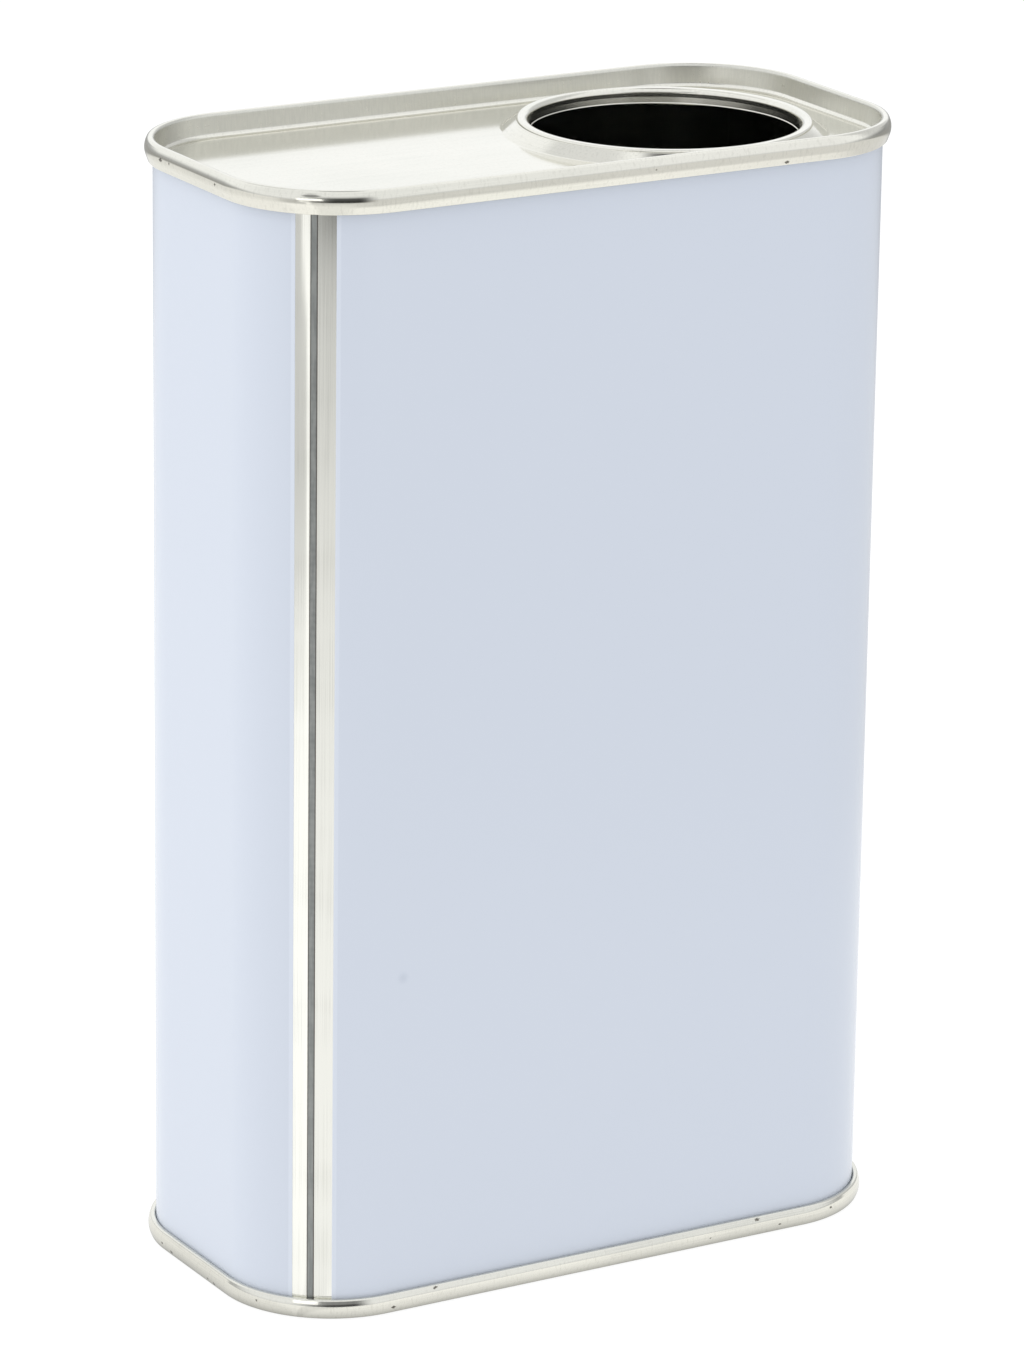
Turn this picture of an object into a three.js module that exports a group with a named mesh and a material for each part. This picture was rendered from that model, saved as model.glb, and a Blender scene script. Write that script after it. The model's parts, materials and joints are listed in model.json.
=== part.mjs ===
// Rectangular one-litre tinplate can with a low drawn neck for a press-in closure, in millimetres.
// +Z is up, and the origin is the middle of the base. +X runs along the long side towards the neck,
// and the welded side seam stands on the corner at -X, -Y.
import * as THREE from "three";
import { mergeVertices } from "three/addons/utils/BufferGeometryUtils.js";

// Overall sizes: length, width and radius over the body wall's outer face, height over both seams.
const BODY_LENGTH = 111;
const BODY_WIDTH = 55.9;
const CAN_HEIGHT = 177.3;
const CORNER_RADIUS = 17.6;

// Sheets and the lacquer film.
const BODY_SHEET = 0.22;
const END_SHEET = 0.25;
const LACQUER_FILM = 0.05;
const LACQUER_TUCK = 0.8; // how far the film runs in behind each seam
const FILM_END_GAP = 0.1; // upright wall left above the film's edge, before the seam leans out

// Double seams, which fold the edge of an end around the edge of the body.
const TOP_SEAM_HEIGHT = 3.7;
const BOTTOM_SEAM_HEIGHT = 3.2;
const SEAM_LEAN = 0.35; // how much further out a seam stands at its crown than at its foot
const LAYER_CLEARANCE = 0.1; // between neighbouring layers of a seam
const CROWN_FLAT = 0.4; // level strip along the top of a seam
const HOOK_TURN = 0.6; // height over which the outer wall turns in and up into the cover hook
const HOOK_END_GAP = 0.3; // from a hook's raw edge to the fold ahead of it
const COMPOUND_DEPTH = 0.2; // room for sealing compound between the crown and the body's fold
const COMPOUND_CLEARANCE = 0.03;

// End panels, sunk below the seams.
const TOP_COUNTERSINK = 3.65; // seam's top to the panel's outer face
const BOTTOM_COUNTERSINK = 4.4;
const COUNTERSINK_FILLET = 1.2; // hollow corner between chuck wall and panel
const PANEL_MARGIN = 0.3; // level strip of panel that is swept along with the seam
const STEP_INSET = 6; // chuck wall to the stiffening step of the bottom panel
const STEP_RISE = 0.8;
const STEP_RUN = 1.6;

// Neck, drawn up out of the top panel and turned in over the rim to a short skirt.
const NECK_FROM_END = 29.95; // body's end face to the neck's axis
const THROAT_RADIUS = 21.1;
const RIM_WIDTH = 1.75; // throat face to the rim's outer face
const RIM_FLAT = 0.3; // level strip along the rim
const SKIRT_DEPTH = 2.4; // rim to the skirt's raw edge
const SKIRT_TURN = 0.55; // how far the raw edge is turned in, at half a right angle
const NECK_HEIGHT = 2.05; // panel to rim
const FLARE_WIDTH = 2.4; // rim's outer face to the foot of the flare
const FLARE_HEIGHT = 1.15;
const NECK_MARGIN = 0.3; // level strip of panel that is turned along with the neck

// Side seam, placed by the angle of its middle from the -X direction round the corner.
const WELD_ANGLE = 51.1;
const WELD_WIDTH = 1.12;
const BARE_END_MARGIN = 2.3; // unlacquered strip beside the weld, on the narrow side
const BARE_FRONT_MARGIN = 2.75; // the same, on the long side

// Facets of the round stretches.
const CORNER_STEP = 15;
const NECK_STEP = 10;
const QUARTER_STEPS = 2;
const HALF_STEPS = 4;

// Middles of the five layers of a seam at its foot, measured outwards from the body wall's outer face.
const BODY_LAYER = -BODY_SHEET / 2;
const CHUCK_LAYER = -BODY_SHEET - LAYER_CLEARANCE - END_SHEET / 2;
const COVER_HOOK_LAYER = LAYER_CLEARANCE + END_SHEET / 2;
const BODY_HOOK_LAYER = COVER_HOOK_LAYER + END_SHEET / 2 + LAYER_CLEARANCE + BODY_SHEET / 2;
const OUTER_LAYER = BODY_HOOK_LAYER + BODY_SHEET / 2 + LAYER_CLEARANCE + END_SHEET / 2;

// Folds of a seam, along the middle of their sheet. Depths are measured from the crown.
const CROWN_ROUND = (OUTER_LAYER - CHUCK_LAYER - CROWN_FLAT) / 2;
const CROWN_CENTRE_DEPTH = END_SHEET / 2 + CROWN_ROUND;
const BODY_FOLD_RADIUS = (BODY_HOOK_LAYER - BODY_LAYER) / 2;
const BODY_FOLD_MIDDLE = (BODY_HOOK_LAYER + BODY_LAYER) / 2;
const BODY_FOLD_DEPTH = END_SHEET + COMPOUND_DEPTH + BODY_SHEET / 2 + BODY_FOLD_RADIUS;

const NECK_X = BODY_LENGTH / 2 - NECK_FROM_END;

const tinplate = new THREE.MeshStandardMaterial({ color: 0xd2d2c4, roughness: 0.25, metalness: 1 });
const lacquer = new THREE.MeshStandardMaterial({ color: 0xe2e6f2, roughness: 0.2, metalness: 0 });
const weldSteel = new THREE.MeshStandardMaterial({ color: 0x767c7c, roughness: 0.5, metalness: 1 });
const compound = new THREE.MeshStandardMaterial({ color: 0x8c8f88, roughness: 0.8, metalness: 0 });

// Points of an arc, or of a stretch of an ellipse, with angles in degrees.
function arc(centre, radii, from, to, steps) {
  return Array.from({ length: steps + 1 }, (_, i) => {
    const angle = THREE.MathUtils.degToRad(from + ((to - from) * i) / steps);
    return new THREE.Vector2(
      centre[0] + radii[0] * Math.cos(angle),
      centre[1] + radii[1] * Math.sin(angle),
    );
  });
}

// A line of points moved sideways by a distance, with mitred corners.
function offsetLine(points, distance) {
  const last = points.length - 1;
  return points.map((point, i) => {
    const ahead = points[Math.min(i + 1, last)].clone().sub(points[Math.min(i, last - 1)]).normalize();
    const behind = points[Math.max(i, 1)].clone().sub(points[Math.max(i - 1, 0)]).normalize();
    const along = ahead.add(behind).normalize();
    const mitre = distance / along.dot(behind);
    return new THREE.Vector2(point.x - along.y * mitre, point.y + along.x * mitre);
  });
}

// Closed outline of a bent sheet around its middle line, starting and ending at the line's first point.
// It runs clockwise, so that surfaces swept from it face outwards.
function sheetOutline(middle, thickness) {
  const outline = [...offsetLine(middle, thickness / 2), ...offsetLine(middle, -thickness / 2).reverse()];
  return clockwise(outline);
}

function clockwise(outline) {
  return THREE.ShapeUtils.isClockWise(outline) ? outline : outline.reverse();
}

// Stations along the can's rounded rectangle, anticlockwise from the weld's front edge and back to it.
// Each has the centre that its corner turns about and the direction in which it faces.
function canStations(edges) {
  const x = BODY_LENGTH / 2 - CORNER_RADIUS;
  const y = BODY_WIDTH / 2 - CORNER_RADIUS;
  const turns = [
    { centre: [-x, -y], angles: [edges.weldFront, edges.lacquerFront, 270] },
    { centre: [x, -y], angles: [270, 360] },
    { centre: [x, y], angles: [360, 450] },
    { centre: [-x, y], angles: [450, 540] },
    { centre: [-x, -y], angles: [540, edges.lacquerEnd, edges.weldEnd, edges.weldFront + 360] },
  ];
  return turns.flatMap(({ centre, angles }) =>
    subdivide(angles, CORNER_STEP).map((angle) => ({ centre, angle, radius: CORNER_RADIUS })),
  );
}

// A rising list of angles with further ones put in, so that no step is wider than the one given.
function subdivide(angles, widest) {
  const fine = [angles[0]];
  for (let i = 1; i < angles.length; i += 1) {
    const steps = Math.ceil((angles[i] - angles[i - 1]) / widest);
    for (let k = 1; k <= steps; k += 1) {
      fine.push(angles[i - 1] + ((angles[i] - angles[i - 1]) * k) / steps);
    }
  }
  return fine;
}

// Angles of the weld's and the lacquer's edges. Those on the narrow side lie one turn further on.
function sideSeamEdges() {
  const degrees = (length) => THREE.MathUtils.radToDeg(length / CORNER_RADIUS);
  const middle = 180 + WELD_ANGLE;
  const weldFront = middle + degrees(WELD_WIDTH / 2);
  const weldEnd = middle + 360 - degrees(WELD_WIDTH / 2);
  return {
    weldFront,
    weldEnd,
    lacquerFront: weldFront + degrees(BARE_FRONT_MARGIN),
    lacquerEnd: weldEnd - degrees(BARE_END_MARGIN),
  };
}

// Stations round the neck's axis, with a facet square to each of +X, +Y, -X and -Y.
function neckStations() {
  return Array.from({ length: 360 / NECK_STEP }, (_, i) => ({
    centre: [NECK_X, 0],
    angle: (i + 0.5) * NECK_STEP,
    radius: 0,
  }));
}

// One loop of points for each point of an outline, carried along the stations.
function sweptLoops(outline, stations) {
  return outline.map((point) =>
    stations.map(({ centre, angle, radius }) => {
      const turn = THREE.MathUtils.degToRad(angle);
      const reach = radius + point.x;
      return new THREE.Vector3(
        centre[0] + reach * Math.cos(turn),
        centre[1] + reach * Math.sin(turn),
        point.y,
      );
    }),
  );
}

// A closed surface, gathered triangle by triangle.
class Skin {
  constructor() {
    this.points = [];
  }

  // Bands of quads between neighbouring loops.
  bands(loops, { ring, closedOutline }) {
    const rows = closedOutline ? loops.length : loops.length - 1;
    for (let j = 0; j < rows; j += 1) {
      const near = loops[j];
      const far = loops[(j + 1) % loops.length];
      const columns = ring ? near.length : near.length - 1;
      for (let i = 0; i < columns; i += 1) {
        const next = (i + 1) % near.length;
        this.points.push(near[i], far[i], far[next], near[i], far[next], near[next]);
      }
    }
  }

  // A level face inside a loop, less a hole, facing up or down.
  level(loop, hole, up) {
    const flat = (points) => points.map((point) => new THREE.Vector2(point.x, point.y));
    const corners = [...loop, ...hole];
    const holes = hole.length ? [flat(hole)] : [];
    for (const face of THREE.ShapeUtils.triangulateShape(flat(loop), holes)) {
      const [a, b, c] = face.map((index) => corners[index]);
      const facesUp = (b.x - a.x) * (c.y - a.y) > (b.y - a.y) * (c.x - a.x);
      this.points.push(a, ...(facesUp === up ? [b, c] : [c, b]));
    }
  }

  // The two cut ends of an outline swept along an open run of stations.
  ends(outline, loops) {
    const last = loops[0].length - 1;
    for (const [a, b, c] of THREE.ShapeUtils.triangulateShape([...outline].reverse(), [])) {
      const [i, j, k] = [a, b, c].map((index) => loops.length - 1 - index);
      this.points.push(loops[i][0], loops[j][0], loops[k][0]);
      this.points.push(loops[i][last], loops[k][last], loops[j][last]);
    }
  }

  geometry() {
    const geometry = mergeVertices(new THREE.BufferGeometry().setFromPoints(this.points));
    geometry.computeVertexNormals();
    return geometry;
  }
}

function ringGeometry(outline, stations) {
  const skin = new Skin();
  skin.bands(sweptLoops(outline, stations), { ring: true, closedOutline: true });
  return skin.geometry();
}

function stripGeometry(outline, stations) {
  const skin = new Skin();
  const loops = sweptLoops(outline, stations);
  skin.bands(loops, { ring: false, closedOutline: true });
  skin.ends(outline, loops);
  return skin.geometry();
}

// Depth of a hook's raw edge: the body's stops above the cover hook's turn, and the cover's below the
// body's fold.
const bodyHookEdge = (seamHeight) => seamHeight - END_SHEET / 2 - HOOK_TURN - HOOK_END_GAP;
const coverHookEdge = BODY_FOLD_DEPTH + HOOK_END_GAP;

// Depth at which a seam starts to lean out, above the film that runs in behind it.
const leanFoot = (seamHeight) => seamHeight - LACQUER_TUCK - FILM_END_GAP;

// Points of a seam, given as (outward, depth) for upright layers, leaned out towards the crown.
function leaned(points, seamHeight) {
  const foot = leanFoot(seamHeight);
  return points.map(({ x, y }) => new THREE.Vector2(x + SEAM_LEAN * Math.max(0, 1 - y / foot), y));
}

// Middle line of an end from the chuck wall's foot, over the crown and round to the cover hook's raw
// edge, as (outward, depth).
function endSeamLine(seamHeight, panelDepth) {
  const fillet = COUNTERSINK_FILLET + END_SHEET / 2;
  const turnMiddle = (OUTER_LAYER + COVER_HOOK_LAYER) / 2;
  const turnReach = (OUTER_LAYER - COVER_HOOK_LAYER) / 2;
  const turnDepth = seamHeight - END_SHEET / 2 - HOOK_TURN;
  const shoulder = [CROWN_ROUND, CROWN_ROUND];
  const upright = new THREE.Vector2(CHUCK_LAYER, leanFoot(seamHeight));
  const line = [
    ...arc([CHUCK_LAYER - fillet, panelDepth - fillet], [fillet, fillet], 90, 0, QUARTER_STEPS),
    ...(upright.y < panelDepth - fillet ? [upright] : []),
    ...arc([CHUCK_LAYER + CROWN_ROUND, CROWN_CENTRE_DEPTH], shoulder, 180, 270, QUARTER_STEPS),
    ...arc([OUTER_LAYER - CROWN_ROUND, CROWN_CENTRE_DEPTH], shoulder, 270, 360, QUARTER_STEPS),
    ...arc([turnMiddle, turnDepth], [turnReach, HOOK_TURN], 0, 180, HALF_STEPS),
    new THREE.Vector2(COVER_HOOK_LAYER, coverHookEdge),
  ];
  return leaned(line, seamHeight);
}

// Middle line of the neck from the panel in to the skirt's raw edge, as (radius, height over the panel's
// middle).
function neckLine() {
  const rimOuter = THROAT_RADIUS + RIM_WIDTH - END_SHEET / 2;
  const rimInner = THROAT_RADIUS + END_SHEET / 2;
  const foot = THROAT_RADIUS + RIM_WIDTH + FLARE_WIDTH;
  const edge = NECK_HEIGHT + END_SHEET / 2 - SKIRT_DEPTH;
  const round = (rimOuter - rimInner - RIM_FLAT) / 2;
  const rounding = [round, round];
  return [
    new THREE.Vector2(foot + NECK_MARGIN, 0),
    new THREE.Vector2(foot, 0),
    new THREE.Vector2(rimOuter, FLARE_HEIGHT),
    ...arc([rimOuter - round, NECK_HEIGHT - round], rounding, 0, 90, QUARTER_STEPS),
    ...arc([rimInner + round, NECK_HEIGHT - round], rounding, 90, 180, QUARTER_STEPS),
    new THREE.Vector2(rimInner, edge + SKIRT_TURN),
    new THREE.Vector2(rimInner - SKIRT_TURN, edge),
  ];
}

// The lid, in a frame whose level is the top of its seam.
function topEndGeometry(ring) {
  const panelDepth = TOP_COUNTERSINK + END_SHEET / 2;
  const seam = endSeamLine(TOP_SEAM_HEIGHT, panelDepth);
  const line = [new THREE.Vector2(seam[0].x - PANEL_MARGIN, panelDepth), ...seam];
  const outline = sheetOutline(line.map(({ x, y }) => new THREE.Vector2(x, -y)), END_SHEET);
  const panelLoops = sweptLoops(outline, ring);

  const neck = neckLine().map(({ x, y }) => new THREE.Vector2(x, y - panelDepth));
  const neckLoops = sweptLoops(sheetOutline(neck, END_SHEET), neckStations());

  const skin = new Skin();
  skin.bands(panelLoops, { ring: true, closedOutline: false });
  skin.bands(neckLoops, { ring: true, closedOutline: false });
  skin.level(panelLoops[0], neckLoops.at(-1), true);
  skin.level(panelLoops.at(-1), neckLoops[0], false);
  return skin.geometry();
}

// The base, standing on the crown of its seam, with a shallow step that stiffens its panel.
function bottomEndGeometry(ring) {
  const panelHeight = BOTTOM_COUNTERSINK + END_SHEET / 2;
  const seam = endSeamLine(BOTTOM_SEAM_HEIGHT, panelHeight);
  const stepFoot = CHUCK_LAYER - STEP_INSET;
  const line = [
    new THREE.Vector2(stepFoot - STEP_RUN - PANEL_MARGIN, panelHeight + STEP_RISE),
    new THREE.Vector2(stepFoot - STEP_RUN, panelHeight + STEP_RISE),
    new THREE.Vector2(stepFoot, panelHeight),
    ...seam,
  ];
  const loops = sweptLoops(sheetOutline(line, END_SHEET), ring);

  const skin = new Skin();
  skin.bands(loops, { ring: true, closedOutline: false });
  skin.level(loops[0], [], true);
  skin.level(loops.at(-1), [], false);
  return skin.geometry();
}

// Middle line of the body sheet in a seam, from the hook's raw edge round to the wall, as (outward, depth).
function bodyEndLine(seamHeight) {
  const fold = [BODY_FOLD_RADIUS, BODY_FOLD_RADIUS];
  const line = [
    new THREE.Vector2(BODY_HOOK_LAYER, bodyHookEdge(seamHeight)),
    ...arc([BODY_FOLD_MIDDLE, BODY_FOLD_DEPTH], fold, 360, 180, HALF_STEPS),
    new THREE.Vector2(BODY_LAYER, leanFoot(seamHeight)),
  ];
  return leaned(line, seamHeight);
}

// The body sheet's outline from its lower hook to its upper one. The weld has it too.
function bodyOutline() {
  const low = bodyEndLine(BOTTOM_SEAM_HEIGHT);
  const high = bodyEndLine(TOP_SEAM_HEIGHT).map(({ x, y }) => new THREE.Vector2(x, CAN_HEIGHT - y));
  return sheetOutline([...low, ...high.reverse()], BODY_SHEET);
}

function lacquerOutline() {
  const low = BOTTOM_SEAM_HEIGHT - LACQUER_TUCK;
  const high = CAN_HEIGHT - TOP_SEAM_HEIGHT + LACQUER_TUCK;
  const corners = [[0, low], [LACQUER_FILM, low], [LACQUER_FILM, high], [0, high]];
  return clockwise(corners.map(([x, y]) => new THREE.Vector2(x, y)));
}

// Sealing compound between the crown's inside and the body's fold, as (outward, depth).
function compoundOutline(seamHeight) {
  const reach = CROWN_ROUND - END_SHEET / 2 - COMPOUND_CLEARANCE;
  const saddle = BODY_FOLD_RADIUS + BODY_SHEET / 2 + COMPOUND_CLEARANCE;
  const inside = [reach, reach];
  const outline = [
    ...arc([CHUCK_LAYER + CROWN_ROUND, CROWN_CENTRE_DEPTH], inside, 180, 270, QUARTER_STEPS),
    ...arc([OUTER_LAYER - CROWN_ROUND, CROWN_CENTRE_DEPTH], inside, 270, 360, QUARTER_STEPS),
    ...arc([BODY_FOLD_MIDDLE, BODY_FOLD_DEPTH], [saddle, saddle], 315, 225, QUARTER_STEPS),
  ];
  return leaned(outline, seamHeight);
}

function piece(name, geometry, material) {
  const mesh = new THREE.Mesh(geometry, material);
  mesh.name = name;
  return mesh;
}

const edges = sideSeamEdges();
const stations = canStations(edges);
const ring = stations.slice(0, -1);
const run = (from, to) => stations.filter(({ angle }) => angle >= from && angle <= to);

const body = new THREE.Group();
body.add(
  piece("body_wall", stripGeometry(bodyOutline(), run(edges.weldFront, edges.weldEnd)), tinplate),
  piece("side_seam_weld", stripGeometry(bodyOutline(), run(edges.weldEnd, Infinity)), weldSteel),
  piece("lacquer_coat", stripGeometry(lacquerOutline(), run(edges.lacquerFront, edges.lacquerEnd)), lacquer),
);

const topCompound = compoundOutline(TOP_SEAM_HEIGHT).map(({ x, y }) => new THREE.Vector2(x, -y));
const top = new THREE.Group();
top.position.z = CAN_HEIGHT;
top.add(
  piece("top_end", topEndGeometry(ring), tinplate),
  piece("top_seam_compound", ringGeometry(clockwise(topCompound), ring), compound),
);

const bottomCompound = compoundOutline(BOTTOM_SEAM_HEIGHT);
const bottom = new THREE.Group();
bottom.add(
  piece("bottom_end", bottomEndGeometry(ring), tinplate),
  piece("bottom_seam_compound", ringGeometry(clockwise(bottomCompound), ring), compound),
);

const can = new THREE.Group();
can.add(body, top, bottom);

export default can;
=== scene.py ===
"""Rectangular tinplate can with a low drawn neck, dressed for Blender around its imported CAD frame.

Sizes are in millimetres and become metres when a mesh is made. +Z is up and the origin is the middle of
the base. +X runs towards the neck, and the welded side seam stands on the corner at -X, -Y.
"""
import json
import logging
import math
from collections.abc import Callable, Mapping, Sequence
from dataclasses import dataclass
from enum import Enum
from functools import cached_property, reduce
from typing import Any, ClassVar, Final, NamedTuple

import bmesh
import bpy
from bpy.types import ID, Material, Mesh, Node, NodeSocket, NodeTree, Object
from mathutils import Matrix, Vector

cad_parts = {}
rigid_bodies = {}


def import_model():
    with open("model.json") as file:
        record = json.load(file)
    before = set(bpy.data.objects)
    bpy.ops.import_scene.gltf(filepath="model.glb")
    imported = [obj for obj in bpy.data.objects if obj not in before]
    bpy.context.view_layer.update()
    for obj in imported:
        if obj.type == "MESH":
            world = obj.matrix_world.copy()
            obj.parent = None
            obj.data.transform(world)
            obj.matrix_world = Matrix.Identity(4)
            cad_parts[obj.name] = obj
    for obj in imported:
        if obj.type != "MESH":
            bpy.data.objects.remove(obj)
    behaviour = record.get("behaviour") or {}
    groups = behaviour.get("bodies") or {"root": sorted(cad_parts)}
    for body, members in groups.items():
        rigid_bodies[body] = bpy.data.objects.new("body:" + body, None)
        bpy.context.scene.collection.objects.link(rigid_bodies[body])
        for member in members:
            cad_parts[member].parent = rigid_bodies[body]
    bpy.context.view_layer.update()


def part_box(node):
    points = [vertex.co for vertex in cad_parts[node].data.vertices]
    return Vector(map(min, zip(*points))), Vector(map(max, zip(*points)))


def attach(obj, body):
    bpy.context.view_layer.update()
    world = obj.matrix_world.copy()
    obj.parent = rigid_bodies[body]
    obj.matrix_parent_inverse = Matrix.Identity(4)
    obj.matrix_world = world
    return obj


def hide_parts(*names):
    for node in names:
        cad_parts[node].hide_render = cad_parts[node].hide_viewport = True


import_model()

LOG = logging.getLogger("can")

MM = 0.001
ROOT_BODY = "root"
WELDED_WAY = 225.0  # direction that the welded corner faces, in degrees from +X
EDGE_ATTRIBUTE = "from_edge"  # distance from the nearer end of a swept strip, in metres
BEND_STEP = math.radians(6)
CREASE_GUARD = 0.04  # flat kept beside a bend, so that its shading stays off the wall next to it
SAME_PLACE = 0.001  # points nearer than this are one
SAME_LEVEL = 0.01  # open edges nearer than this in height belong to one panel
SHARP_ANGLE = math.radians(40)
TRIM_START, TRIM_END = 4, 5  # inputs of Blender's Trim Curve node that take lengths
LEVEL_PART = (1.0, 1.0, 0.0)  # what leaves a vector's level part
FINE_DETAIL = 3.0  # finer layers of a noise

Point = tuple[float, float]
Size = tuple[float, float, float]
Colour = tuple[float, float, float]
Input = NodeSocket | float | Sequence[float]
Inputs = Mapping[str | int, Any]


class CadNode(Enum):
    """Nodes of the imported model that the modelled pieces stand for."""

    BODY_WALL = "body_wall"
    SIDE_SEAM_WELD = "side_seam_weld"
    LACQUER_COAT = "lacquer_coat"
    TOP_END = "top_end"
    TOP_SEAM_COMPOUND = "top_seam_compound"
    BOTTOM_END = "bottom_end"
    BOTTOM_SEAM_COMPOUND = "bottom_seam_compound"


class Slot(Enum):
    """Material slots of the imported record."""

    TINPLATE = "tinplate"
    WELD = "weld"
    LACQUER = "white_lacquer"
    COMPOUND = "seam_compound"


class Grain(Enum):
    """Which way the fine marks of a tinplate sheet run."""

    UPRIGHT = "upright"
    PRESSED_END = "pressed end"
    DRAWN_LID = "drawn lid"


# Sections


@dataclass(frozen=True)
class Bend:
    """Corner of a section's middle line, with the radius that it is bent to."""

    out: float
    rise: float
    radius: float = 0.0

    @property
    def point(self) -> Vector:
        """Corner as a vector."""
        return Vector((self.out, self.rise))


def bend_arc(before: Bend, bend: Bend, after: Bend) -> list[Vector]:
    """Round one corner of a line.

    Args:
        before: Corner ahead of it.
        bend: The corner.
        after: Corner that follows it.

    Returns:
        Points of the arc.
    """
    back = (before.point - bend.point).normalized()
    ahead = (after.point - bend.point).normalized()
    turn = math.pi - back.angle(ahead)
    start = bend.point + back * (bend.radius * math.tan(turn / 2))
    centre = bend.point + (back + ahead).normalized() * (bend.radius / math.cos(turn / 2))
    side = math.copysign(turn, ahead.cross(back))
    steps = max(1, math.ceil(turn / BEND_STEP))
    return [centre + Matrix.Rotation(side * i / steps, 2) @ (start - centre) for i in range(steps + 1)]


def rounded_line(bends: Sequence[Bend]) -> list[Point]:
    """Run a line through corners and round each of them.

    Args:
        bends: Corners in order. The first and the last are the ends of the line.

    Returns:
        Points of the line, with a short flat kept on both sides of each bend.
    """
    arcs = [bend_arc(*three) for three in zip(bends, bends[1:], bends[2:])]
    runs = [[bends[0].point], *arcs, [bends[-1].point]]
    line = list(runs[0])
    for run, following in zip(runs, runs[1:]):
        straight = following[0] - run[-1]
        if straight.length > 2 * CREASE_GUARD:
            guard = straight.normalized() * CREASE_GUARD
            line.extend((run[-1] + guard, following[0] - guard))
        line.extend(following if straight.length > SAME_PLACE else following[1:])
    return [(point.x, point.y) for point in line]


def offset_line(points: Sequence[Point], distance: Callable[[Point], float]) -> list[Point]:
    """Move a line sideways, with mitred corners.

    Args:
        points: Points of the line.
        distance: Gives how far each point moves, to the left of the line's direction.

    Returns:
        The moved points, as many as came in.
    """
    line = [Vector(point) for point in points]
    ways = [(b - a).normalized() for a, b in zip(line, line[1:])]
    moved = []
    for point, behind, ahead in zip(line, [ways[0], *ways], [*ways, ways[-1]]):
        along = (behind + ahead).normalized()
        reach = distance((point.x, point.y)) / along.dot(behind)
        moved.append((point.x - along.y * reach, point.y + along.x * reach))
    return moved


def sheet_outline(middle: Sequence[Point], thickness: float) -> list[Point]:
    """Draw round a bent sheet, from the first end of its middle line and back to it.

    Args:
        middle: Middle line of the sheet.
        thickness: Thickness of the sheet.

    Returns:
        Outline that starts and ends at the first end of the middle line.
    """
    left = offset_line(middle, lambda _: thickness / 2)
    right = offset_line(middle, lambda _: -thickness / 2)
    return [*left, *reversed(right)]


def arc(centre: Point, radius: float, first: float, last: float) -> list[Point]:
    """Draw an arc.

    Args:
        centre: Centre of the arc.
        radius: Radius of the arc.
        first: Angle of its first point, in degrees.
        last: Angle of its last point, in degrees.

    Returns:
        Points of the arc.
    """
    steps = math.ceil(math.radians(abs(last - first)) / BEND_STEP)
    turns = [math.radians(first + (last - first) * i / steps) for i in range(steps + 1)]
    return [(centre[0] + radius * math.cos(t), centre[1] + radius * math.sin(t)) for t in turns]


def clockwise(outline: Sequence[Point]) -> list[Point]:
    """Give a closed outline the direction in which its swept surface faces outwards.

    Args:
        outline: Points of the outline.

    Returns:
        The points, in that direction.
    """
    following = [*outline[1:], outline[0]]
    area = sum(a[0] * b[1] - b[0] * a[1] for a, b in zip(outline, following))
    return list(outline) if area < 0 else list(reversed(outline))


# Sizes of the can


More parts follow.
